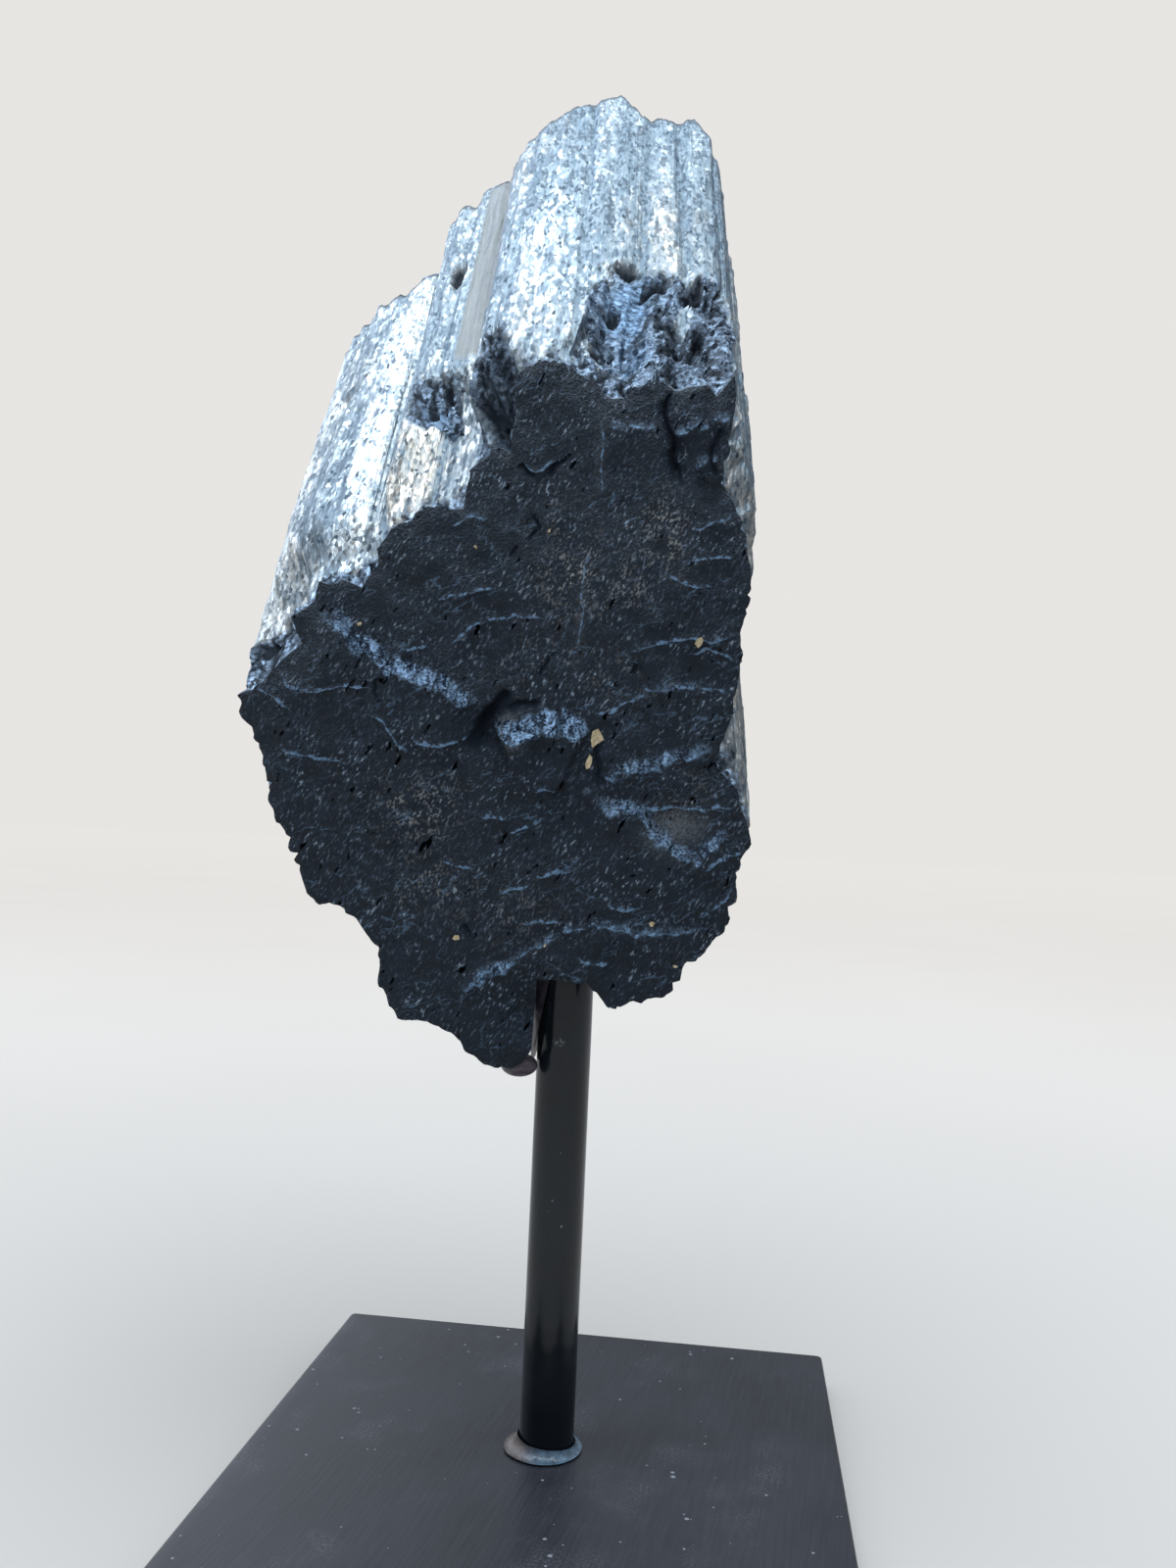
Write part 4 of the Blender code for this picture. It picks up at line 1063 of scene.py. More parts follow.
# %% Height of the back
BACK_REACH = 114.0
BACK_LEAN_SIDE, BACK_LEAN_UP = 0.25, 0.18
BACK_RIM = 9.0
BACK_ROUGHNESS, BACK_ROUGH_SIZE = 0.8, 9.0
BACK_STEP = 7.0
CELL_SIZE, CELL_SHIFT = 11.0, 0.4
FIELD_LEFT, FIELD_RIGHT = -66.0, 36.0
FIELD_BOTTOM, FIELD_TOP = 66.0, 204.0
CELL_TURN_ACROSS, CELL_TURN_UP, CELL_TURN_SIDE, CELL_LEVEL_TURN = 12.9, 7.7, 1.7, 3.1
BACK_CELL_STEP, BACK_CELLS = 2.2, (3.2, 3.2, 97)
BACK_GRIT, BACK_GRIT_NOISE = 0.3, (2.0, 99, 2)


def column_cells(u, v):
    """Which group of columns a place belongs to: the nearest seed of a shifted grid, as a level 0 to 1."""
    nearest = np.full(u.shape, np.inf)
    level = np.zeros(u.shape)
    for i, seed_u in enumerate(np.arange(FIELD_LEFT, FIELD_RIGHT, CELL_SIZE)):
        for j, seed_v in enumerate(np.arange(FIELD_BOTTOM, FIELD_TOP, CELL_SIZE)):
            turn = CELL_TURN_ACROSS * i + CELL_TURN_UP * j
            centre_u = seed_u + CELL_SHIFT * CELL_SIZE * math.sin(turn)
            centre_v = seed_v + CELL_SHIFT * CELL_SIZE * math.cos(CELL_TURN_SIDE * turn)
            distance = np.hypot(u - centre_u, v - centre_v)
            own = 0.5 + 0.5 * math.sin(CELL_LEVEL_TURN * turn)
            level = np.where(distance < nearest, own, level)
            nearest = np.minimum(nearest, distance)
    return level


def back_steps(u, v):
    """k of the back far from its rim: a leaning plane cut into large and small steps."""
    plane = BACK_REACH + BACK_LEAN_SIDE * (u - CENTRE[0]) + BACK_LEAN_UP * (v - CENTRE[1])
    broken = plane - BACK_STEP * column_cells(u, v) + BACK_ROUGHNESS * rough(u, v, BACK_ROUGH_SIZE)
    level, _ = cell_pattern(u, v, *BACK_CELLS)
    return broken - BACK_CELL_STEP * level + BACK_GRIT * layered_noise(u, v, *BACK_GRIT_NOISE)


def nearest_of(points, others):
    """For each point, which of the others is nearest to it, and how far away that one is."""
    index = np.zeros(len(points), int)
    best = np.full(len(points), np.inf)
    for number, place in enumerate(others):
        apart = np.hypot(points[:, 0] - place[0], points[:, 1] - place[1])
        index = np.where(apart < best, number, index)
        best = np.minimum(best, apart)
    return index, best


def back_height(points, rim, rim_k):
    """k of the back: the steps, brought to the column ends at the rim."""
    broken = back_steps(points[:, 0], points[:, 1])
    nearest, apart = nearest_of(points, rim)
    return rim_k[nearest] + smooth_step(apart / BACK_RIM) * (broken - rim_k[nearest])


print("back steps of", BACK_STEP, "and", BACK_CELL_STEP, "mm")

# %% [markdown]
# ## Triangles of a break
# A break has a ragged rim and ledges that run anywhere, so a plain grid would cut across them in saw
# teeth. Instead a field of points is joined by Delaunay triangles, with the rim as edges that must be
# there and points set along two lines of each ledge.

# %% Triangles
FACE_SPACING, BACK_SPACING = 0.72, 1.3
CHAIN_SPACING, CHAIN_CLEAR = 0.6, 0.4
FIELD_SHIFT, FIELD_SHIFT_ACROSS, FIELD_SHIFT_UP = 0.28, 12.7, 7.3
FIELD_ROWS, FIELD_CLEAR = 0.87, 0.45
INSIDE_ONLY, JOIN_DISTANCE = 1, 1e-5


def inside(points, polygon):
    """Which points lie inside a polygon, by counting the edges that a level ray crosses."""
    found = np.zeros(len(points), bool)
    for a, b in zip(polygon, np.roll(polygon, -1, axis=0)):
        spans = (a[1] > points[:, 1]) != (b[1] > points[:, 1])
        rise = b[1] - a[1] if b[1] != a[1] else 1.0
        crossing = a[0] + (points[:, 1] - a[1]) * (b[0] - a[0]) / rise
        found ^= spans & (points[:, 0] < crossing)
    return found


def clear_of(points, others, distance):
    """Which points keep a distance from all the others."""
    return nearest_of(points, others)[1] > distance


def ledge_chains(rim):
    """Lines of points along the foot and the lip of each ledge, as ragged as the ledge itself."""
    chains = []
    lines = [(row[0], 1.0) for row in LEDGES]
    lines += [(row[0], 0.0) for row in FINE_LEDGES + CRACKS]
    lines += [(scratch, 0.0) for scratch in SCRATCHES]
    for line, blocky in lines:
        line, place = along_line(line)
        fine = np.linspace(0.0, place[-1], round(place[-1] / CHAIN_SPACING))
        u = np.interp(fine, place, line[:, 0])
        v = np.interp(fine, place, line[:, 1])
        way = np.stack([np.gradient(u), np.gradient(v)], axis=1)
        way = way / np.linalg.norm(way, axis=1, keepdims=True)
        for off in (0.0, LEDGE_WIDTH):
            near_u, near_v = pulled_back(u - off * way[:, 1], v + off * way[:, 0], blocky)
            chain = np.stack([near_u, near_v], axis=1)
            chains.append(chain[inside(chain, rim) & clear_of(chain, rim, CHAIN_CLEAR)])
    return chains


def field_points(rim, spacing, fixed):
    """A staggered, slightly shifted field of points inside a rim, clear of it and of the fixed points."""
    columns = np.arange(FIELD_LEFT, FIELD_RIGHT, spacing)
    levels = np.arange(FIELD_BOTTOM, FIELD_TOP, FIELD_ROWS * spacing)
    u, v = np.meshgrid(columns, levels)
    u = u + spacing / 2 * (np.arange(len(levels))[:, None] % 2)
    field = np.stack([u.ravel(), v.ravel()], axis=1)
    turn = field[:, ::-1] * FIELD_SHIFT_ACROSS + field * FIELD_SHIFT_UP
    field = field + FIELD_SHIFT * spacing * np.sin(turn)
    field = field[inside(field, rim)]
    return field[clear_of(field, fixed, FIELD_CLEAR * spacing)]


def break_triangles(rim, chains, spacing):
    """A break as points (u, v) and triangles: the rim first, in its order, then the points inside."""
    fixed = np.concatenate([rim] + chains)
    field = field_points(rim, spacing, fixed)
    flat = [Vector(point) for point in np.concatenate([fixed, field]).tolist()]
    border = list(range(len(rim)))[::-1]
    result = delaunay_2d_cdt(flat, [], [border], INSIDE_ONLY, JOIN_DISTANCE)
    return np.array([tuple(point) for point in result[0]]), np.array(result[2])


front_rim = wall_uv[0]
front_uv, front_triangles = break_triangles(front_rim, ledge_chains(front_rim), FACE_SPACING)
back_rim = wall_uv[-1]
back_uv, back_triangles = break_triangles(back_rim, [], BACK_SPACING)
print("front", len(front_triangles), "triangles, back", len(back_triangles))

# %% [markdown]
# ## One closed stone
# The front break, the rings and the back break share their rims, so together they are one closed skin.
# Each point also keeps marks that its material reads: whether it is wall, how broken, how dusty, how
# close to a ledge, and so on.

# %% Join the stone
LEDGE_PROBE, BACK_PROBE = 0.2, 0.5
LIT_CLIMB, LIT_BLEND = 1.6, 2.4
LIP_WIDTH, LIP_PER_RISE = 0.30, 0.35
LINE_REACH, LINE_LEAST, SCRATCH_STRENGTH = 4.0, 0.5, 1.0
CRACK_FULL = 0.5
BACK_FALL, BACK_FALL_BLEND = 0.6, 1.2
BACK_LIT_BASE, BACK_LIT_NOISE = 0.6, (4.0, 115, 3)
BACK_DUST_BASE, BACK_DUST_NOISE = 0.2, (11.0, 117, 3)
# Dusty zones of the front break: u, v, half width, half height, strength.
DUST_ZONES = [
    (-1, 157.5, 5, 7, 1.0), (14.5, 165, 3.5, 6, 1.0),
    (9, 156, 4, 5, 0.6), (-26, 117, 7, 6, 0.75),
    (-8, 142, 7, 4, 0.35), (-8, 100, 8, 6, 0.3),
    (8, 140, 7, 4, 0.3), (-24, 103, 6, 5, 0.5),
    (-6, 170, 5, 4, 0.3), (20, 120, 4, 4, 0.35),
]
# Thin grey films and scratches in the same form.
HAZE_ZONES = [
    (18.5, 114.6, 4.2, 2.4, 0.9), (-11.5, 131.6, 2.2, 1.8, 1.0),
    (2.7, 178.5, 0.7, 6.5, 0.25), (0.7, 153.0, 0.7, 8.5, 0.25),
]


def face_marks():
    """For each point of the front break, six marks.

    lit: where the face climbs steeply or a ledge has its lip, which gets a painted highlight. line and
    line_off: how strong the nearest ledge or scratch is and how far away it lies. dust and haze: the zones.
    pit: how deep in a crack, which gets painted shade.
    """
    u, v = front_uv[:, 0], front_uv[:, 1]
    climb = (face_height(u, v + LEDGE_PROBE) - face_height(u, v - LEDGE_PROBE)) / (2 * LEDGE_PROBE)
    block, ragged = pushed(u, v, 1.0), pushed(u, v, 0.0)
    lip = np.zeros(len(u))
    for line, rise, _ in LEDGES:
        above, window = beside_line(*block, line)
        near = np.exp(-((above - 0.5 * LEDGE_WIDTH) / LIP_WIDTH) ** 2)
        lip = np.maximum(lip, near * window * min(1.0, LIP_PER_RISE * rise))
    strongest, line_off = np.zeros(len(u)), np.full(len(u), LINE_REACH)
    rows = [(row[0], 1.0, block) for row in LEDGES]
    rows += [(line, min(1.0, LINE_LEAST + rise), ragged) for line, rise in FINE_LEDGES]
    rows += [(scratch, SCRATCH_STRENGTH, ragged) for scratch in SCRATCHES]
    for line, strength, places in rows:
        above, window = beside_line(*places, line)
        closer = np.abs(above) < line_off
        strongest = np.where(closer, window * strength, strongest)
        line_off = np.where(closer, np.abs(above), line_off)
    return {
        "lit": np.maximum(step_after(climb, LIT_CLIMB, LIT_BLEND), lip),
        "line": strongest,
        "line_off": line_off,
        "dust": patches(DUST_ZONES, u, v),
        "haze": patches(HAZE_ZONES, u, v),
        "pit": smooth_step(crack_depth(*ragged) / CRACK_FULL),
    }


def back_marks():
    """For each point of the back: lit where a step falls, which gets a painted highlight, and dusty in
    patches.
    """
    u, v = back_uv[:, 0], back_uv[:, 1]
    here = back_steps(u, v)
    fall_u, fall_v = back_steps(u + BACK_PROBE, v) - here, back_steps(u, v + BACK_PROBE) - here
    fall = np.hypot(fall_u, fall_v) / BACK_PROBE
    areas = smooth_step(layered_noise(u, v, *BACK_LIT_NOISE) + BACK_LIT_BASE)
    return {
        "lit": step_after(fall, BACK_FALL, BACK_FALL_BLEND) * areas,
        "dust": smooth_step(layered_noise(u, v, *BACK_DUST_NOISE) + BACK_DUST_BASE),
    }


def worn_back(points):
    """How far the face drops towards its rim: most at the rim, and almost nothing 3 mm inside."""
    nearest, apart = nearest_of(points, front_rim)
    return front_drop[nearest] * np.exp(-apart / RIM_DROP_REACH)


def stone_skin():
    """All points in metres, all triangles facing outwards, and the marks of each point."""
    front_k = face_height(front_uv[:, 0], front_uv[:, 1]) + worn_back(front_uv)
    back_k = back_height(back_uv, back_rim, wall_k[-1])
    count = wall_k.shape[1]
    front_k[:count], back_k[:count] = wall_k[0], wall_k[-1]
    middle_uv, middle_k = wall_uv[1:-1].reshape(-1, 2), wall_k[1:-1].ravel()
    uv = np.concatenate([front_uv, middle_uv, back_uv])
    k = np.concatenate([front_k, middle_k, back_k])
    back_start = len(front_uv) + len(middle_uv)
    first = np.arange(count)[None]
    middle = len(front_uv) + np.arange(len(middle_uv)).reshape(-1, count)
    rows = np.concatenate([first, middle, back_start + first])
    a, b = rows[:-1], np.roll(rows[:-1], -1, axis=1)
    c, d = np.roll(rows[1:], -1, axis=1), rows[1:]
    wall_faces = np.stack([a, b, c, a, c, d], axis=-1).reshape(-1, 3)
    faces = np.concatenate([front_triangles, wall_faces, back_start + back_triangles[:, ::-1]])
    none = [np.zeros(len(part)) for part in (front_uv, middle_uv, back_uv)]
    behind = back_marks()
    marks = {"wall": np.concatenate([none[0], np.ones(len(middle_uv)), none[2]])}
    for name, values in wall_marks.items():
        marks[name] = np.concatenate([none[0], values[1:-1].ravel(), none[2]])
    for name, values in face_marks().items():
        whole = np.concatenate([values, none[1], behind.get(name, none[2])])
        marks[name] = np.maximum(whole, marks[name]) if name in marks else whole
    return in_space(uv, k), faces, marks


def keep_marks(mesh, marks):
    """One number for each point, under each mark's name."""
    for name, values in marks.items():
        layer = mesh.attributes.new(name, "FLOAT", "POINT")
        layer.data.foreach_set("value", np.asarray(values, np.float32))


stone_points, stone_faces, stone_marks = stone_skin()
stone = new_object("tourmaline_stone", stone_points, stone_faces)
keep_marks(stone.data, stone_marks)
print("stone", len(stone_faces), "triangles")

# %% [markdown]
# ## The drilled socket
# The post goes up into a hole drilled in the underside. A Boolean cuts it, with a plain round cutter
# that is thrown away afterwards. The marks of each point stay with the mesh through the cut.

# %% Cut the socket
SOCKET_RADIUS = 0.0061
SOCKET_MOUTH, SOCKET_TOP = 0.04, 0.1252
DROP_CENTRE = (-0.0071, -0.0045, 0.0722)
DROP_SIZE = (0.0032, 0.0032, 0.0020)
DROP_CLEARANCE = 0.0004
STONE_EDGE = math.radians(38)
POST_SIDES = 96
BALL_ROWS, BALL_SIDES = 24, 48
AROUND = np.arange(POST_SIDES) * math.tau / POST_SIDES


def ring_points(radius, height, angle=AROUND):
    """Points of rings round the z axis from their radius, their height and the angle of each place."""
    x, y = radius * np.cos(angle), radius * np.sin(angle)
    return np.stack([x, y, np.broadcast_to(height, x.shape)], axis=-1)


def revolved(profile, angle=AROUND, wave=None):
    """Points of a profile (radius, height) carried round the z axis, as an array of rows by sides."""
    radius, height = profile[:, 0:1], profile[:, 1:2]
    if wave is not None:
        radius = radius + wave(angle[None], height)
    return ring_points(radius, height, angle)


def capped(points):
    """All points and faces of a closed form: rows of one length, with a fan to a point at each end."""
    rows, columns = points.shape[:2]
    middles = np.stack([points[0].mean(axis=0), points[-1].mean(axis=0)])
    flat = np.concatenate([points.reshape(-1, 3), middles])
    j = np.arange(columns)
    following = (j + 1) % columns
    first = np.stack([following, j, np.full(columns, rows * columns)], axis=1)
    last_row = (rows - 1) * columns
    last = np.stack([last_row + j, last_row + following, np.full(columns, rows * columns + 1)], axis=1)
    return flat, grid_faces(rows, columns).tolist() + first.tolist() + last.tolist()


def ball(centre, half_sizes):
    """A stretched ball: half circles carried round the z axis, closed at both poles."""
    upward = np.linspace(-math.pi / 2, math.pi / 2, BALL_ROWS + 2)[1:-1]
    profile = np.stack([np.cos(upward), np.sin(upward)], axis=1)
    points = revolved(profile, np.arange(BALL_SIDES) * math.tau / BALL_SIDES)
    return capped(points * np.array(half_sizes) + np.array(centre))


def apply_boolean(item, cutter, operation):
    """Works the Boolean out, keeps its result as the item's mesh, and removes the cutter."""
    modifier = item.modifiers.new("cut", "BOOLEAN")
    modifier.operation = operation
    modifier.solver = "MANIFOLD"
    modifier.object = cutter
    graph = bpy.context.evaluated_depsgraph_get()
    mesh = bpy.data.meshes.new_from_object(item.evaluated_get(graph))
    item.modifiers.clear()
    item.data = mesh
    bpy.data.objects.remove(cutter, do_unlink=True)


def rod(radius, low, high):
    """A plain round cutter."""
    return new_object("cutter", *capped(revolved(np.array([(radius, low), (radius, high)]))))


def shade_smooth(item, edge):
    """Smooth shading, with edges that bend by more than an angle left sharp."""
    item.data.polygons.foreach_set("use_smooth", np.full(len(item.data.polygons), True))
    item.data.set_sharp_from_angle(angle=edge)


apply_boolean(stone, rod(SOCKET_RADIUS, SOCKET_MOUTH, SOCKET_TOP), "DIFFERENCE")
room = new_object("cutter", *ball(DROP_CENTRE, np.array(DROP_SIZE) + DROP_CLEARANCE))
apply_boolean(stone, room, "DIFFERENCE")
shade_smooth(stone, STONE_EDGE)
print("stone after the cut:", len(stone.data.polygons), "faces")
print("marks:", [mark for mark in stone_marks if mark in stone.data.attributes])

# %% [markdown]
# ## Mica flakes
# Small books of gold-coloured mica sit in the break. Each flake is a thin plate with a ragged outline,
# closed on both sides, lying in the surface at the height that the break has there.

# %% Mica
FLAKE_THICK = 0.0002
FLAKE_CORNERS, FLAKE_SEED = 7, 7
FLAKE_REACH_LEAST, FLAKE_REACH_VARIES = 0.45, 0.9
FLAKE_SINK = 0.17
# u, v, half width, half height in millimetres, and the turn of the long side in degrees.
FLAKES = [
    (4.4, 129.4, 1.05, 1.75, -14), (3.2, 125.6, 0.55, 1.05, -10),
    (21.1, 146.9, 0.55, 1.05, -30), (-18.5, 94.1, 0.75, 0.4, 5),
    (15.2, 98.7, 0.45, 0.45, 20), (19.3, 91.5, 0.5, 0.25, -25),
    (-2.9, 94.8, 0.25, 0.3, 0), (-18.3, 162.4, 0.3, 0.4, 30),
    (-5.5, 165.2, 0.25, 0.35, 0), (-38.4, 147.9, 0.45, 0.4, -40),
]


def flake_plates():
    """Rings of corners at uneven distances from each flake's middle, in front of and behind its place."""
    middle = np.array(FLAKES)[:, None]
    corner = np.arange(FLAKE_CORNERS)[None] * math.tau / FLAKE_CORNERS
    number = np.arange(len(FLAKES))[:, None]
    uneven = scattered(number, np.arange(FLAKE_CORNERS)[None], FLAKE_SEED)
    reach = FLAKE_REACH_LEAST + FLAKE_REACH_VARIES * uneven
    turn = np.radians(middle[..., 4])
    x = reach * middle[..., 2] * np.cos(corner)
    y = reach * middle[..., 3] * np.sin(corner)
    u = middle[..., 0] + x * np.cos(turn) - y * np.sin(turn)
    v = middle[..., 1] + x * np.sin(turn) + y * np.cos(turn)
    uv = np.stack([u, v], axis=-1)
    places = np.array(FLAKES)[:, :2]
    k = face_height(places[:, 0], places[:, 1]) - FLAKE_SINK
    back = in_space(uv, np.broadcast_to(k[:, None], u.shape))
    return back, back - np.array([0.0, FLAKE_THICK, 0.0])


def make_flakes():
    """Each flake's two rings joined into a closed plate."""
    back, front = flake_plates()
    points, faces = [], []
    for ring_back, ring_front in zip(back, front):
        start = sum(len(part) for part in points)
        flat, found = capped(np.stack([ring_back, ring_front]))
        points.append(flat)
        faces += [[start + corner for corner in face] for face in found]
    return new_object("mica_flakes", np.concatenate(points), faces, smooth=False)


mica = make_flakes()
print(len(FLAKES), "mica flakes")

# %% [markdown]
# ## The post and the plate
# The post is a steel rod with black paint, cut square and a little rounded at its ends. The plate is
# the same steel with a satin coat. Both are profiles carried round: the rod's round the axis, and the
# plate's round a square. A real coat of paint is never quite even, so the rod's surface waves a little.

# %% Post and plate
PLATE_SIDE, PLATE_THICK = 0.1016, 0.006
PLATE_EDGE, PLATE_CORNER = 0.0006, 0.0009
POST_RADIUS = 0.009525 / 2
POST_EDGE = 0.0004
POST_TOP = 0.124
GAP = 0.0003
POST_ROWS, POST_EDGE_ROWS, PLATE_EDGE_ROWS = 160, 7, 6
PLATE_SIDE_POINTS, PLATE_CORNER_POINTS = 40, 6
PLATE_INNER_ROWS, PLATE_INNERMOST = 26, 0.02
COAT_WAVE, COAT_NOISE = 0.00003, (3.0, 5, 2)
COAT_AROUND, COAT_TWIST, COAT_ALONG = 6.0, 300, 90
METAL_EDGE = math.radians(50)


def quarter_round(size, rows):
    """A quarter circle that leaves a side and joins a flat end: how far in and how far up each row is."""
    turn = np.linspace(0.0, math.pi / 2, rows)
    return size * (1 - np.sin(turn)), size * (1 - np.cos(turn))


def post_profile():
    """The rod from below upwards: a rounded edge, the long side, a rounded edge."""
    low = PLATE_THICK + GAP
    inset, rise = quarter_round(POST_EDGE, POST_EDGE_ROWS)
    side = np.linspace(low + POST_EDGE, POST_TOP - POST_EDGE, POST_ROWS)[1:-1]
    radius = np.concatenate([POST_RADIUS - inset, np.full(len(side), POST_RADIUS), POST_RADIUS - rise])
    height = np.concatenate([low + rise, side, POST_TOP - inset])
    return np.stack([radius, height], axis=1)


def coat_wave(angle, height):
    """Thin and thick places of the paint, always a little inside the rod's size."""
    x = COAT_AROUND * np.cos(angle) + COAT_TWIST * height
    y = COAT_AROUND * np.sin(angle) + COAT_ALONG * height
    return COAT_WAVE * (layered_noise(x, y, *COAT_NOISE) - 1.0)


def square_outline(side, corner):
    """Points of a square with rounded corners: one side and one corner, turned four times."""
    half = side / 2 - corner
    straight = np.linspace(-half, half, PLATE_SIDE_POINTS)
    bend = np.linspace(0.0, math.pi / 2, PLATE_CORNER_POINTS + 2)[1:-1]
    across = np.concatenate([straight, half + corner * np.sin(bend)])
    down = np.concatenate([np.full(PLATE_SIDE_POINTS, -side / 2), -half - corner * np.cos(bend)])
    points = []
    for quarter in range(4):
        turn = quarter * math.pi / 2
        x = across * math.cos(turn) - down * math.sin(turn)
        y = across * math.sin(turn) + down * math.cos(turn)
        points.append(np.stack([x, y], axis=1))
    return np.concatenate(points)


def make_plate():
    """The outline drawn in by the edge's profile, from the middle of the underside up to the middle."""
    inset, rise = quarter_round(PLATE_EDGE, PLATE_EDGE_ROWS)
    size = 1.0 - np.concatenate([inset, rise]) / (PLATE_SIDE / 2)
    inward = np.linspace(1.0, PLATE_INNERMOST, PLATE_INNER_ROWS)[1:]
    share = np.concatenate([inward[::-1] * size[0], size, inward * size[-1]])
    edge = np.concatenate([rise, PLATE_THICK - inset])
    height = np.concatenate([np.zeros(len(inward)), edge, np.full(len(inward), PLATE_THICK)])
    xy = share[:, None, None] * square_outline(PLATE_SIDE, PLATE_CORNER)[None]
    z = np.broadcast_to(height[:, None], xy.shape[:2])
    return new_object("satin_plate", *capped(np.concatenate([xy, z[..., None]], axis=-1)))


post = new_object("painted_post", *capped(revolved(post_profile(), wave=coat_wave)))
plate = make_plate()
for piece in (post, plate):
    piece.data.set_sharp_from_angle(angle=METAL_EDGE)
print("post", len(post.data.polygons), "faces, plate", len(plate.data.polygons), "faces")

# %% [markdown]
# ## The bead at the foot
# Where the post meets the plate there is a smooth, shiny bead, hollow like a drop drawn up a glass. Its
# profile is a quarter circle carried round. Its lip wanders, and it is thinner on the right, as a bead
# made by hand is.

# %% Bead
FILLET_WIDTH, FILLET_HEIGHT, FILLET_LIP = 0.0024, 0.0021, 1.02
FILLET_ROWS = 16
BEAD_WANDER, BEAD_WAVES, BEAD_NOISE = 0.14, 3, (1.6, 3, 3)
BEAD_LESS_RIGHT, BEAD_THIN_SIDE = 0.5, math.radians(20)


def make_bead():
    """A closed ring: up the post, down a hollow quarter circle, and back under along the plate."""
    turn = np.linspace(0.0, math.pi / 2, FILLET_ROWS)
    out = np.concatenate([[0.0], FILLET_WIDTH * (FILLET_LIP - np.sin(turn))])
    up = np.concatenate([[0.0], FILLET_HEIGHT * (FILLET_LIP - np.cos(turn))])
    noise = layered_noise(BEAD_WAVES * np.cos(AROUND), BEAD_WAVES * np.sin(AROUND), *BEAD_NOISE)
    wander = 1.0 - BEAD_WANDER * (0.5 + 0.5 * noise)
    wander = wander * (1.0 - BEAD_LESS_RIGHT * (0.5 + 0.5 * np.cos(AROUND - BEAD_THIN_SIDE)))
    radius = POST_RADIUS + GAP + out[:, None] * wander
    points = ring_points(radius, PLATE_THICK + GAP + up[:, None] * wander)
    faces = grid_faces(len(out) + 1, POST_SIDES) % (len(out) * POST_SIDES)
    return new_object("foot_bead", points.reshape(-1, 3), faces)


bead = make_bead()
bead.data.set_sharp_from_angle(angle=METAL_EDGE)
print("bead", len(bead.data.polygons), "faces")

# %% [markdown]
# ## The glue
# Clear glue fills the gap round the post in its socket. It ran down on the left, so the sleeve's lower
# end slants, and a small drop hangs there.

# %% Glue
GLUE_RADIUS = SOCKET_RADIUS - GAP
GLUE_BOTTOM, GLUE_SHORT_END = 0.0725, 0.102
GLUE_SLANT_START, GLUE_RISE = -0.0054, 5.0
GLUE_EDGE = math.radians(40)


def make_glue():
    """A sleeve whose low end follows its x place, joined with the drop and cleared round the post."""
    inner = POST_RADIUS + GAP
    top = SOCKET_TOP - GAP
    rings = []
    for radius, upper in ((GLUE_RADIUS, 0.0), (GLUE_RADIUS, 1.0), (inner, 1.0), (inner, 0.0)):
        low = GLUE_BOTTOM + GLUE_RISE * np.maximum(0.0, radius * np.cos(AROUND) - GLUE_SLANT_START)
        low = np.minimum(low, GLUE_SHORT_END)
        rings.append(ring_points(radius, low + upper * (top - low)))
    faces = grid_faces(len(rings) + 1, POST_SIDES) % (len(rings) * POST_SIDES)
    sleeve = new_object("clear_glue", np.concatenate(rings), faces)
    apply_boolean(sleeve, new_object("cutter", *ball(DROP_CENTRE, DROP_SIZE)), "UNION")
    reach = 3 * DROP_SIZE[2] + POST_RADIUS
    apply_boolean(sleeve, rod(inner, DROP_CENTRE[2] - reach, DROP_CENTRE[2] + reach), "DIFFERENCE")
    return sleeve


glue = make_glue()
shade_smooth(glue, GLUE_EDGE)
print("glue", len(glue.data.polygons), "faces")

# %% [markdown]
# ## Effects that several finishes share
# Each one is a node group. Grain is soft noise of a given size, plain or drawn out along a direction.
# Dust is specks, flakes are ragged cells that each lean their own way, and veins are thin curved lines.

# %% Shared effects
PER_MM = 1000.0
MIDDLE_GREY = (0.5, 0.5, 0.5)
# Directions that a grain is drawn out along.
LEANING = unit(np.array((0.50, 0.0, 0.87)))
FALLING = unit(np.array((0.75, -0.20, -0.50)))
BRUSHED = unit(np.array((0.12, 1.0, 0.0)))
VEINS_ALONG, VEINS_SHARE = (0.90, 0.0, 0.44), 0.65
# Dust: the ends of the broad noise, the largest radius of a speck as a share of its cell.
DUST_NOISE_ENDS, DUST_RADIUS, DUST_DETAIL = (0.35, 0.65), 0.42, 3.0
FLAKE_DETAIL = 2.0


def new_group(name, inputs, outputs=("Mask",)):
    """A node group: number inputs, each with its usual value, and outputs. A normal is a vector."""
    group = bpy.data.node_groups.new(name, "ShaderNodeTree")
    for socket, value in inputs.items():
        made = group.interface.new_socket(socket, in_out="INPUT", socket_type="NodeSocketFloat")
        made.default_value = value
    for socket in outputs:
        kind = "NodeSocketVector" if socket == "Normal" else "NodeSocketFloat"
        group.interface.new_socket(socket, in_out="OUTPUT", socket_type=kind)
    return group, group.nodes.new("NodeGroupInput").outputs, group.nodes.new("NodeGroupOutput")


def placed(tree, group, **inputs):
    """The outputs of a group placed in a tree with these values."""
    return add_node(tree, "Group", inputs, node_tree=group).outputs


def object_place(tree):
    """The place on the object, in metres."""
    return add_node(tree, "TexCoord").outputs["Object"]


def drawn_out(tree, direction, share):
    """The place less a share of its part along a direction, so that patterns on it run that way."""
    place, direction = object_place(tree), tuple(direction)
    along = on_vectors(tree, "DOT_PRODUCT", place, direction, result="Value")
    back = times(tree, along, share, -1.0)
    return on_vectors(tree, "ADD", place, scaled(tree, direction, back))


def cells_in(tree, size):
    """The scale of a pattern whose cells have a size in millimetres."""
    return compute(tree, "DIVIDE", PER_MM, size)


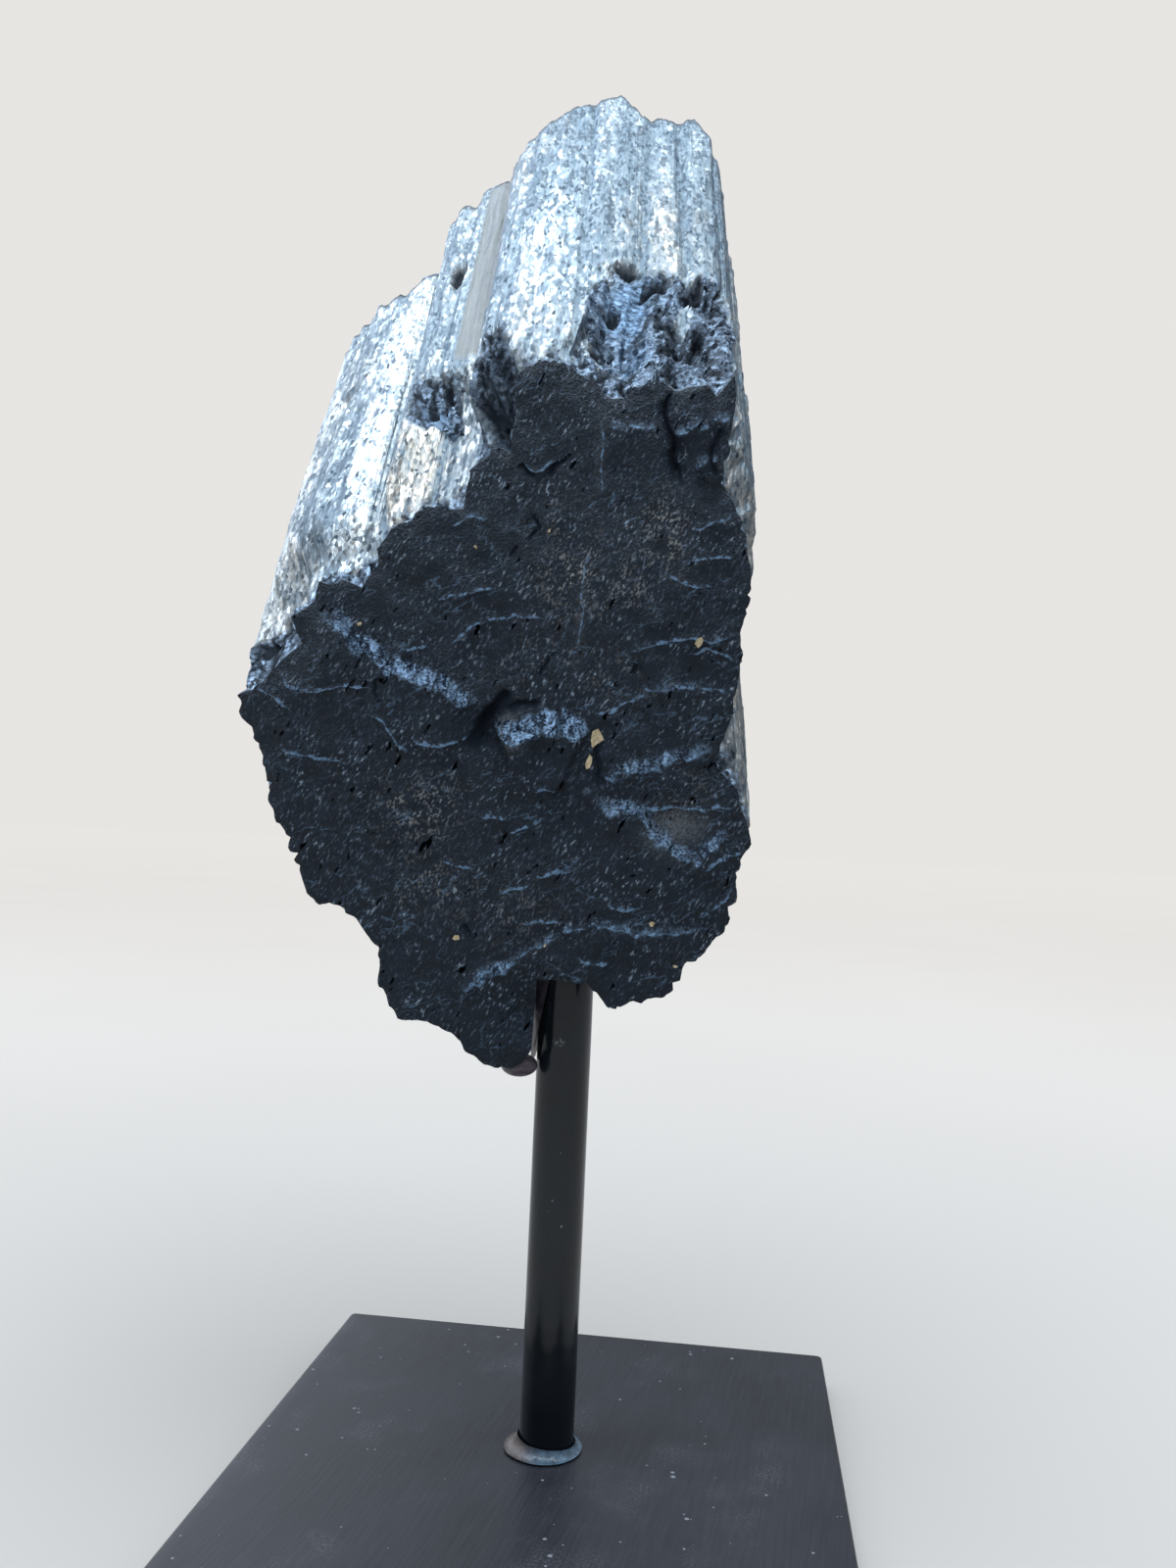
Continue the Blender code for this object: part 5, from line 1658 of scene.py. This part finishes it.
def grain_group(name, direction=None):
    """Noise on the place in millimetres, with its low and high ends cut off."""
    usual = {"Size": 1.0, "Low": 0.3, "High": 0.7, "Detail": 3.0}
    if direction is not None:
        usual["Share"] = 0.95
    group, given, result = new_group(name, usual)
    place = object_place(group) if direction is None else drawn_out(group, direction, given["Share"])
    inputs = {"Vector": place, "Scale": cells_in(group, given["Size"]), "Detail": given["Detail"]}
    noise = add_node(group, "TexNoise", inputs).outputs["Fac"]
    feed(group, result, {"Mask": ranged(group, noise, given["Low"], given["High"])})
    return group


def dust_group():
    """Round specks in a share of even cells, large where a broad noise is high and small elsewhere."""
    group, given, result = new_group("dust", {"Size": 0.3, "Patch": 12.0, "Amount": 0.5, "Share": 0.3})
    place = object_place(group)
    inputs = {"Vector": place, "Scale": cells_in(group, given["Size"])}
    speck = add_node(group, "TexVoronoi", inputs, feature="F1").outputs
    inputs = {"Vector": place, "Scale": cells_in(group, given["Patch"]), "Detail": DUST_DETAIL}
    broad = add_node(group, "TexNoise", inputs).outputs["Fac"]
    own = add_node(group, "SeparateColor", {0: speck["Color"]}).outputs
    radius = ranged(group, broad, *DUST_NOISE_ENDS, 0.0, DUST_RADIUS)
    radius = times(group, radius, own[0], given["Amount"])
    inside_speck = compute(group, "LESS_THAN", speck["Distance"], radius)
    chosen = compute(group, "LESS_THAN", own[1], given["Share"])
    feed(group, result, {"Mask": times(group, inside_speck, chosen)})
    return group


def flake_group():
    """Small ragged cells drawn out along the columns.

    Each cell has its own level, and the normal on it leans its own way.
    """
    usual = {"Size": 1.6, "Share": 0.6, "Ragged": 0.5, "Lean": 0.4}
    group, given, result = new_group("flakes", usual, ("Level", "Normal"))
    place = drawn_out(group, COLUMN, given["Share"])
    scale = cells_in(group, given["Size"])
    noise = add_node(group, "TexNoise", {"Vector": place, "Scale": scale, "Detail": FLAKE_DETAIL})
    shift = on_vectors(group, "SUBTRACT", noise.outputs["Color"], MIDDLE_GREY)
    shift = scaled(group, shift, compute(group, "DIVIDE", given["Ragged"], scale))
    inputs = {"Vector": on_vectors(group, "ADD", place, shift), "Scale": scale}
    own = add_node(group, "TexVoronoi", inputs, feature="F1").outputs["Color"]
    lean = scaled(group, on_vectors(group, "SUBTRACT", own, MIDDLE_GREY), given["Lean"])
    leaning = on_vectors(group, "ADD", add_node(group, "NewGeometry").outputs["Normal"], lean)
    level = add_node(group, "SeparateColor", {0: own}).outputs[0]
    feed(group, result, {"Level": level, "Normal": on_vectors(group, "NORMALIZE", leaning)})
    return group


def vein_group():
    """Thin curved lines: where a broad noise, drawn out, passes through its middle value."""
    group, given, result = new_group("veins", {"Size": 8.0, "Width": 0.012, "Detail": 3.0})
    place = drawn_out(group, VEINS_ALONG, VEINS_SHARE)
    inputs = {"Vector": place, "Scale": cells_in(group, given["Size"]), "Detail": given["Detail"]}
    noise = add_node(group, "TexNoise", inputs).outputs["Fac"]
    off = compute(group, "ABSOLUTE", compute(group, "SUBTRACT", noise, 0.5))
    feed(group, result, {"Mask": ranged(group, off, given["Width"], 0.0)})
    return group


GRAIN = grain_group("grain")
COLUMN_GRAIN = grain_group("column_grain", COLUMN)
LEANING_GRAIN = grain_group("leaning_grain", LEANING)
FALLING_GRAIN = grain_group("falling_grain", FALLING)
BRUSHED_GRAIN = grain_group("brushed_grain", BRUSHED)


def grain(tree, size, low=0.3, high=0.7, detail=3.0, kind=GRAIN, **more):
    """The mask of a grain: its size in millimetres, the two ends that are cut off, and its detail."""
    values = {"Size": size, "Low": low, "High": high, "Detail": detail, **more}
    return placed(tree, kind, **values)["Mask"]


DUST = dust_group()
FLAKES_GROUP = flake_group()
VEINS = vein_group()
print("groups:", [group.name for group in bpy.data.node_groups])

# %% [markdown]
# ## Tourmaline
# One crystal, three looks. The break is black glass with a fine grain, pale dashes and flecks, thin
# lines that carry a painted highlight along the thin ledges, tiny notches painted black as shade, and
# ledges with a painted pale blue highlight. The walls are the same black, but their flakes catch the
# light and shine like silver, and that silver and white are painted into their colour as reflection.
# The broken parts of the walls are in between: sugary, with painted pale blue highlights on the crumbs
# and a painted slate blue reflection in the smooth hollows. The marks kept on the mesh choose the look.

# %% The break's colours
FACE_DARK, FACE_LIGHT = (0.0012, 0.0022, 0.0048), (0.0050, 0.0095, 0.0190)
DASH_COLOUR, FLECK_COLOUR = (0.052, 0.074, 0.112), (0.28, 0.35, 0.43)
DUST_COLOUR, HAZE_COLOUR = (0.37, 0.375, 0.37), (0.15, 0.165, 0.175)
# Thin lines: pale blue scratches, and along the thin ledges and veins a painted highlight on their edges.
LINE_AND_GLINT_COLOUR = (0.16, 0.27, 0.42)
# Ledges: black to pale blue, the pale blue a painted highlight on the lips that catch the light.
LEDGE_DARK, LEDGE_HIGHLIGHT = (0.004, 0.010, 0.026), (0.40, 0.60, 0.86)
LINE_HALF_WIDTH, LINE_CORE, LINE_WANDER, LINE_LOWEST = 0.20, 0.3, 0.22, 0.35
DASH_SHARE, FLECK_FROM, FLECK_LOWEST = 0.9, 0.78, 0.2
HAZE_LOWEST, VEIN_SHARE = 0.3, 0.5
LEDGE_CELLS, LEDGE_FINE, LEDGE_ENDS = 0.6, 0.7, (0.72, 1.5)


def marked(tree, name):
    """The number that a mesh keeps at each point under a name."""
    return add_node(tree, "Attribute", attribute_name=name).outputs["Fac"]


def line_strength(tree, fine):
    """How much of the thin lines shows: sharp in their middle, wandering a little, and broken up."""
    broken_up = grain(tree, 1.1, 0.38, 0.56)
    wander = times(tree, compute(tree, "SUBTRACT", broken_up, 0.5), LINE_WANDER)
    off = added(tree, marked(tree, "line_off"), wander)
    line = ranged(tree, off, LINE_HALF_WIDTH, LINE_CORE * LINE_HALF_WIDTH)
    line = times(tree, line, marked(tree, "line"), added(tree, fine, LINE_LOWEST))
    return compute(tree, "MINIMUM", line, 1.0)


def ledge_colours(tree, fine):
    """The lit ledges, black to a pale blue painted highlight in small cells and larger lobes, and the cells'
    leaning normal.
    """
    blocks = placed(tree, FLAKES_GROUP, Size=0.8, Share=0.5, Ragged=0.8, Lean=1.0)
    lobes = placed(tree, FLAKES_GROUP, Size=2.4, Share=0.5, Ragged=0.4)["Level"]
    level = times(tree, added(tree, blocks["Level"], lobes), LEDGE_CELLS)
    level = added(tree, level, times(tree, fine, LEDGE_FINE))
    return mix_colour(tree, ranged(tree, level, *LEDGE_ENDS), LEDGE_DARK, LEDGE_HIGHLIGHT), blocks["Normal"]


def face_colours(tree, fine, dashes):
    """Black with leaning dashes in patches, dust and haze in their zones, thin lines with a painted
    highlight along the thin ledges and veins, and lit ledges.
    """
    tone = grain(tree, 3.0, detail=5.0)
    patchy = grain(tree, 5.0, 0.34, 0.60)
    clusters = grain(tree, 2.4, 0.42, 0.56, 4.0)
    regions = grain(tree, 9.0, 0.40, 0.58, 2.0)
    specks = grain(tree, 0.42, 0.53, 0.60, kind=LEANING_GRAIN, Share=0.4)
    veins = placed(tree, VEINS, Size=6.0, Width=0.007, Detail=4.0)["Mask"]
    veins = times(tree, veins, clusters, VEIN_SHARE)
    dust = compute(tree, "MULTIPLY", times(tree, specks, clusters), marked(tree, "dust"), clamp=True)
    haze = added(tree, fine, HAZE_LOWEST)
    haze = compute(tree, "MULTIPLY", marked(tree, "haze"), haze, clamp=True)
    flecks = ranged(tree, dashes, FLECK_FROM, 1.0)
    flecks = times(tree, flecks, patchy, added(tree, regions, FLECK_LOWEST))
    face = mix_colour(tree, tone, FACE_DARK, FACE_LIGHT)
    for share, colour in (
        (times(tree, dashes, patchy, DASH_SHARE), DASH_COLOUR),
        (flecks, FLECK_COLOUR),
        (haze, HAZE_COLOUR),
        (dust, DUST_COLOUR),
        (larger(tree, veins, line_strength(tree, fine)), LINE_AND_GLINT_COLOUR),
    ):
        face = mix_colour(tree, share, face, colour)
    ledge, lit_normal = ledge_colours(tree, fine)
    # Where lit, the ledges' painted highlight takes the place of the black break.
    return mix_colour(tree, marked(tree, "lit"), face, ledge), lit_normal, veins


print("the break:", FACE_DARK, "to", FACE_LIGHT)

# %% [markdown]
# ## The column walls
# Each small flake of a wall has its own grey and leans its own way, so some flash white while their
# neighbours stay dark. That grey, silver and white are painted reflection, the white flashes painted
# glints. Broad bands are warmer or brighter, partly by painted highlight, shade and brown reflection,
# and one column is smooth and beige.

# %% The walls' colours
# Slate, silver, white and cream are painted reflection and painted glints: the crystal itself is black.
WALL_SLATE_REFLECTION, WALL_SILVER_REFLECTION = (0.105, 0.135, 0.155), (0.280, 0.330, 0.360)
# Warm beige: partly own colour, partly a painted brown reflection.
WALL_WARM = (0.36, 0.31, 0.24)
WALL_WHITE_GLINT, WALL_CREAM_GLINT = (0.68, 0.74, 0.76), (0.78, 0.70, 0.58)
BAND_COLOUR, BAND_SHADE = (0.21, 0.205, 0.185), (0.12, 0.12, 0.11)
# The broken walls run from black to a pale blue painted highlight on the crumbs that catch the light.
BROKEN_DARK, BROKEN_HIGHLIGHT = (0.005, 0.009, 0.017), (0.50, 0.66, 0.86)
FLAKE_SHARE, BROAD_MIDDLE, BROAD_SHARE, LIGHT_AND_SHADE_SHARE = 0.4, 0.4, 0.3, 0.22
STREAK_SHARE, SILVER_REFLECTION_ENDS, WHITE_GLINT_ENDS = 0.3, (0.25, 0.9), (0.52, 0.80)
WARM_BROAD, WARM_MARKED = 0.3, 0.7
DARK_SPECK_ENDS, DARK_SPECK_BROAD_ENDS, DARK_SPECK_SHARE = (0.11, 0.06), (0.75, 0.25), 0.75
BAND_STREAKS, BAND_CALM = 0.8, 0.75


def wall_colours(tree, streaks, smooth):
    """Painted reflection: slate and silver flakes, painted white glints where a flake shines, warm in broad
    bands, dark specks, and one smooth column.
    """
    large = placed(tree, FLAKES_GROUP, Size=1.3, Share=0.68, Ragged=0.9, Lean=0.52)
    small = placed(tree, FLAKES_GROUP, Size=0.6, Share=0.55, Ragged=0.8, Lean=0.62)
    broad = grain(tree, 5.0, 0.36, 0.68, 2.0, kind=COLUMN_GRAIN, Share=0.93)
    level = times(tree, added(tree, large["Level"], small["Level"]), FLAKE_SHARE)
    bands = times(tree, compute(tree, "SUBTRACT", broad, BROAD_MIDDLE), BROAD_SHARE)
    # Each flake's level gets the broad bands and the painted highlight and shade of the tone mark.
    for part in (bands, times(tree, marked(tree, "tone"), LIGHT_AND_SHADE_SHARE)):
        level = added(tree, level, part)
    painted_silver = added(tree, level, times(tree, streaks, STREAK_SHARE))
    painted_silver = ranged(tree, painted_silver, *SILVER_REFLECTION_ENDS)
    warmth = times(tree, marked(tree, "warm"), WARM_MARKED)
    warmth = added(tree, times(tree, broad, WARM_BROAD), warmth, clamp=True)
    # Dark specks: small cells that go back to near black.
    dark_speck = ranged(tree, small["Level"], *DARK_SPECK_ENDS)
    dark_speck = times(tree, dark_speck, ranged(tree, broad, *DARK_SPECK_BROAD_ENDS), DARK_SPECK_SHARE)
    side = mix_colour(tree, painted_silver, WALL_SLATE_REFLECTION, WALL_SILVER_REFLECTION)
    for share, colour in (
        (times(tree, warmth, painted_silver), WALL_WARM),
        (ranged(tree, level, *WHITE_GLINT_ENDS), mix_colour(tree, warmth, WALL_WHITE_GLINT, WALL_CREAM_GLINT)),
        (dark_speck, BROKEN_DARK),
        (smooth, mix_colour(tree, times(tree, streaks, BAND_STREAKS), BAND_COLOUR, BAND_SHADE)),
    ):
        side = mix_colour(tree, share, side, colour)
    leaning = mix_vector(tree, 0.5, large["Normal"], small["Normal"])
    flat = add_node(tree, "NewGeometry").outputs["Normal"]
    return side, level, mix_vector(tree, times(tree, smooth, BAND_CALM), leaning, flat)


print("the walls:", WALL_SLATE_REFLECTION, "to", WALL_WHITE_GLINT)

# %% [markdown]
# ## The whole stone
# The marks mix the break, the walls and the rubble. The bright parts are metallic, so that they mirror
# the studio in their base colour, which holds painted reflection. The rest is dark glass, which mirrors
# little. Pits, cracks, sunk blocks and the dark zones are painted dark as shade and made matt, and the
# notches are painted black. A finish is a function that returns what the shader's inputs get, and its
# name is the material's name.

# %% Tourmaline
FACE_GLEAM = (0.72, 0.86, 1.0)
NICK_SHADE_COLOUR = (0.0008, 0.0010, 0.0015)
# The smooth hollows' slate blue: a painted reflection of the sky.
SLATE_REFLECTION_DARK, SLATE_REFLECTION_LIGHT = (0.040, 0.073, 0.120), (0.24, 0.38, 0.56)
CRUMB_LOWEST, SHADE_SHARE, SLATE_CALM = 0.1, 0.9, 0.7
WALL_SHINE, BROKEN_SHINE, BAND_SHINE, LIT_SHINE = 0.72, 0.55, 0.4, 0.5
FACE_MATT, SHINY_MATT, DEEP_MATT, SHADE_MATT = (0.42, 0.60), 0.33, 0.9, 0.8
DASH_GRIT, VEIN_GRIT, FACE_GRIT = 0.8, 2.5, 0.6
BARK_STREAKS, BAND_STREAK_GRIT = 0.5, 0.3
STONE_IOR, STONE_SPECULAR = 1.62, 0.32


def black_tourmaline(tree):
    """The three looks mixed by the marks of each point."""
    names = ("wall", "broken", "pit", "lit", "smooth", "dark", "slate")
    wall, broken, pit, lit, smooth, dark, slate = (marked(tree, name) for name in names)
    fine = grain(tree, 0.45, 0.35, 0.65)
    dashes = grain(tree, 0.42, 0.50, 0.66, 4.0, kind=LEANING_GRAIN, Share=0.62)
    streaks = grain(tree, 0.8, 0.32, 0.68, 4.0, kind=COLUMN_GRAIN, Share=0.97)
    face, lit_normal, veins = face_colours(tree, fine, dashes)
    side, level, side_normal = wall_colours(tree, streaks, smooth)

    # Rubble: crumbs black or a painted pale blue highlight, and the hollows a painted slate blue reflection.
    crumbs = placed(tree, FLAKES_GROUP, Size=1.0, Share=0.35, Ragged=0.9, Lean=1.1)
    sugar = grain(tree, 1.0, 0.40, 0.66, 4.0)
    crumb = times(tree, crumbs["Level"], added(tree, sugar, CRUMB_LOWEST))
    # Painted shade: crumbs in the dark zones lose most of their brightness.
    crumb = times(tree, crumb, less(tree, dark, SHADE_SHARE))
    fallen = grain(tree, 0.7, 0.40, 0.64, kind=FALLING_GRAIN, Share=0.75)
    hollow = mix_colour(tree, fallen, SLATE_REFLECTION_DARK, SLATE_REFLECTION_LIGHT)
    rubble = mix_colour(tree, slate, mix_colour(tree, crumb, BROKEN_DARK, BROKEN_HIGHLIGHT), hollow)

    # Tiny notches on the break painted as shade: near black, and fully metallic so that they stay black.
    nick_shade = grain(tree, 1.25, 0.665, 0.69, kind=LEANING_GRAIN, Share=0.68)
    shiny = larger(tree, wall, lit)
    nick_shade = times(tree, nick_shade, compute(tree, "SUBTRACT", 1.0, shiny, clamp=True))
    colour = mix_colour(tree, wall, face, mix_colour(tree, broken, side, rubble))
    colour = mix_colour(tree, nick_shade, colour, NICK_SHADE_COLOUR)

    shine = times(tree, wall, mix_value(tree, broken, WALL_SHINE, BROKEN_SHINE))
    shine = times(tree, shine, mix_value(tree, smooth, 1.0, BAND_SHINE))
    shine = larger(tree, shine, times(tree, lit, LIT_SHINE))
    shine = larger(tree, times(tree, shine, less(tree, pit)), nick_shade)
    matt = mix_value(tree, shiny, mix_value(tree, fine, *FACE_MATT), SHINY_MATT)
    # Painted shade also makes the pits and the dark zones matt.
    deep = larger(tree, pit, times(tree, dark, broken, SHADE_MATT))

    grit = added(tree, times(tree, dashes, DASH_GRIT), fine)
    grit = compute(tree, "SUBTRACT", grit, times(tree, veins, VEIN_GRIT))
    bark = added(tree, level, times(tree, streaks, BARK_STREAKS))
    bark = mix_value(tree, smooth, bark, times(tree, streaks, BAND_STREAK_GRIT))
    relief = mix_value(tree, wall, times(tree, grit, FACE_GRIT), mix_value(tree, broken, bark, crumb))
    calm = times(tree, broken, less(tree, slate, SLATE_CALM))
    front = mix_vector(tree, lit, add_node(tree, "NewGeometry").outputs["Normal"], lit_normal)
    normal = mix_vector(tree, wall, front, mix_vector(tree, calm, side_normal, crumbs["Normal"]))
    return {
        # Pits and cracks get painted shade: near black colour, rough and not metallic.
        "Base Color": mix_colour(tree, pit, colour, BROKEN_DARK),
        "Metallic": shine,
        "Roughness": mix_value(tree, deep, matt, DEEP_MATT),
        "Specular IOR Level": STONE_SPECULAR,
        "Specular Tint": FACE_GLEAM,
        "IOR": STONE_IOR,
        "Normal": bumped(tree, relief, 0.6, 0.0004, Normal=normal),
    }


print("tourmaline in three looks")

# %% [markdown]
# ## The other finishes
# The stand is painted and coated steel, so its finishes are even, with a little life: a scuff, specks
# of dust, fine brushing. The mica is a gold foil, and the glue is cloudy and lets light through.

# %% Stand, mica, glue and floor
PAINT_DARK, PAINT_LIGHT = (0.006, 0.0085, 0.011), (0.010, 0.0145, 0.020)
SPECK_COLOUR = (0.34, 0.36, 0.40)
SATIN_DARK, SATIN_LIGHT = (0.022, 0.023, 0.029), (0.036, 0.038, 0.048)
# The bead's two colours are a painted reflection: a brown surround at its left, the blue sky in front.
BEAD_LEFT_REFLECTION, BEAD_FRONT_REFLECTION = (0.17, 0.13, 0.12), (0.16, 0.25, 0.34)
BEAD_TURN = (-0.004, 0.0)
MICA_DARK, MICA_LIGHT = (0.42, 0.31, 0.16), (0.86, 0.74, 0.50)
GLUE_CLEAR, GLUE_CLOUDY = (0.05, 0.042, 0.056), (0.15, 0.125, 0.15)
SCUFF_PLACE, SCUFF_SIZE, SCUFF_CORE = (-0.0004, -0.0048, 0.0765), (0.0013, 0.002, 0.0009), 0.3
PAINT_MARKS, SATIN_MARKS, SATIN_MARK_MATT = 0.5, 0.85, 0.4
BRUSH_SHARE, BRUSH_MATT, SMUDGE_SHARE, BEAD_TONE = 0.05, 0.06, 0.22, 0.6


def around_place(tree, centre, half_size):
    """One at a place, falling to zero at the half size around it."""
    away = on_vectors(tree, "SUBTRACT", object_place(tree), centre)
    share = on_vectors(tree, "DIVIDE", away, half_size)
    return ranged(tree, on_vectors(tree, "LENGTH", share, result="Value"), 1.0, SCUFF_CORE)


def post_paint(tree):
    """Smooth black paint in two near tones, a few dust specks and one scuff below the stone."""
    tone = grain(tree, 9.0, 0.35, 0.65, 2.0)
    fine = grain(tree, 0.35, 0.45, 0.60)
    wave = grain(tree, 5.0, 0.2, 0.8, 1.0)
    dust = placed(tree, DUST, Size=1.6, Patch=9.0, Amount=0.35, Share=0.2)["Mask"]
    scuff = times(tree, around_place(tree, SCUFF_PLACE, SCUFF_SIZE), fine)
    marks = times(tree, larger(tree, dust, scuff), PAINT_MARKS)
    colour = mix_colour(tree, tone, PAINT_DARK, PAINT_LIGHT)
    return {
        "Base Color": mix_colour(tree, marks, colour, SPECK_COLOUR),
        "Roughness": added(tree, mix_value(tree, tone, 0.16, 0.22), marks),
        "Specular IOR Level": 0.36,
        "Normal": bumped(tree, wave, 0.12, 0.0004),
    }


def plate_satin(tree):
    """A charcoal coat with fine brushing, broad smudges and small pale dust specks."""
    tone = grain(tree, 26.0, 0.35, 0.65, 4.0)
    smudge = grain(tree, 12.0, 0.56, 0.78, 5.0)
    fine = grain(tree, 0.5, 0.45, 0.62)
    brush = grain(tree, 0.5, 0.35, 0.75, 4.0, kind=BRUSHED_GRAIN, Share=0.96)
    dust = placed(tree, DUST, Size=1.4, Patch=16.0, Amount=0.75, Share=0.16)["Mask"]
    lint = placed(tree, DUST, Size=5.0, Patch=20.0, Amount=0.30, Share=0.3)["Mask"]
    marks = times(tree, larger(tree, dust, lint), SATIN_MARKS)
    colour = mix_colour(tree, tone, SATIN_DARK, SATIN_LIGHT)
    for share in (times(tree, brush, BRUSH_SHARE), times(tree, smudge, fine, SMUDGE_SHARE), marks):
        colour = mix_colour(tree, share, colour, SPECK_COLOUR)
    matt = added(tree, mix_value(tree, tone, 0.30, 0.36), times(tree, brush, BRUSH_MATT))
    return {
        "Base Color": colour,
        "Roughness": added(tree, matt, times(tree, marks, SATIN_MARK_MATT)),
        "Metallic": 0.25,
        "Normal": bumped(tree, brush, 0.10, 0.0001),
    }


def glossy_bead_painted_reflection(tree):
    """A glossy bead whose colour holds a painted reflection, brownish at the left and pale blue in front,
    with small ripples.
    """
    across = add_node(tree, "SeparateXYZ", {0: object_place(tree)}).outputs[0]
    tone = grain(tree, 1.2)
    colour = mix_colour(tree, ranged(tree, across, *BEAD_TURN), BEAD_LEFT_REFLECTION, BEAD_FRONT_REFLECTION)
    return {
        "Base Color": mix_colour(tree, times(tree, tone, BEAD_TONE), colour, PAINT_LIGHT),
        "Roughness": mix_value(tree, tone, 0.06, 0.14),
        "Normal": bumped(tree, tone, 0.35, 0.0002),
    }


def gold_mica(tree):
    """Gold-coloured foil in two tones with fine ridges."""
    tone = grain(tree, 0.6)
    return {
        "Base Color": mix_colour(tree, tone, MICA_DARK, MICA_LIGHT),
        "Metallic": 0.35,
        "Roughness": mix_value(tree, tone, 0.45, 0.3),
        "Normal": bumped(tree, tone, 0.4, 0.0002),
    }


def cloudy_glue(tree):
    """Cloudy clear glue: light goes part of the way in."""
    tone = grain(tree, 1.5)
    return {
        "Base Color": mix_colour(tree, tone, GLUE_CLEAR, GLUE_CLOUDY),
        "Roughness": 0.35,
        "Transmission Weight": 0.35,
        "IOR": 1.48,
        "Normal": bumped(tree, tone, 0.3, 0.0003),
    }


def pale_board(tree):
    """A dull pale board that glows for the camera alone, more and more away from the stone.

    With r the distance from the middle, the glow is r * r / (r * r + half way * half way).
    """
    tone = grain(tree, 260.0, detail=1.0)
    place = object_place(tree)
    square = on_vectors(tree, "DOT_PRODUCT", place, place, result="Value")
    glow = compute(tree, "DIVIDE", square, added(tree, square, GLOW_HALF_WAY ** 2))
    return {
        "Base Color": mix_colour(tree, tone, FLOOR_COLOUR, FLOOR_SHADE),
        "Roughness": 0.75,
        "Specular IOR Level": 0.0,
        "Emission Color": GLOW_COLOUR,
        "Emission Strength": times(tree, glow, add_node(tree, "LightPath").outputs["Is Camera Ray"]),
    }


def finish_of(inputs_of):
    """A material, named after a function, whose shader gets the inputs that the function works out."""
    material = bpy.data.materials.new(inputs_of.__name__)
    material.use_nodes = True
    tree = material.node_tree
    feed(tree, tree.nodes["Principled BSDF"], inputs_of(tree))
    return material


finishes = {
    stone: (finish_of(black_tourmaline), "tourmaline"),
    mica: (finish_of(gold_mica), None),
    post: (finish_of(post_paint), "post"),
    plate: (finish_of(plate_satin), "base_plate"),
    bead: (finish_of(glossy_bead_painted_reflection), "foot_fillet"),
    glue: (finish_of(cloudy_glue), "adhesive"),
}
floor.data.materials.append(finish_of(pale_board))
print("finishes:", len(bpy.data.materials))

# %% [markdown]
# ## Fasten the pieces and measure
# Every piece gets its finish, rides on the object's one body and stands for its solid. The mica has no
# solid of its own. Both boxes are measured, and how far the dressed model's box grew is printed.

# %% Fasten and measure
for piece, (finish, node) in finishes.items():
    piece.data.materials.clear()
    piece.data.materials.append(finish)
    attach(piece, "root")
    if node:
        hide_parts(node)

scene_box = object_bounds()
growth = np.array(scene_box) - np.array(cad_box)
print("the box grew by", (growth / MM).round(2).tolist(), "mm")
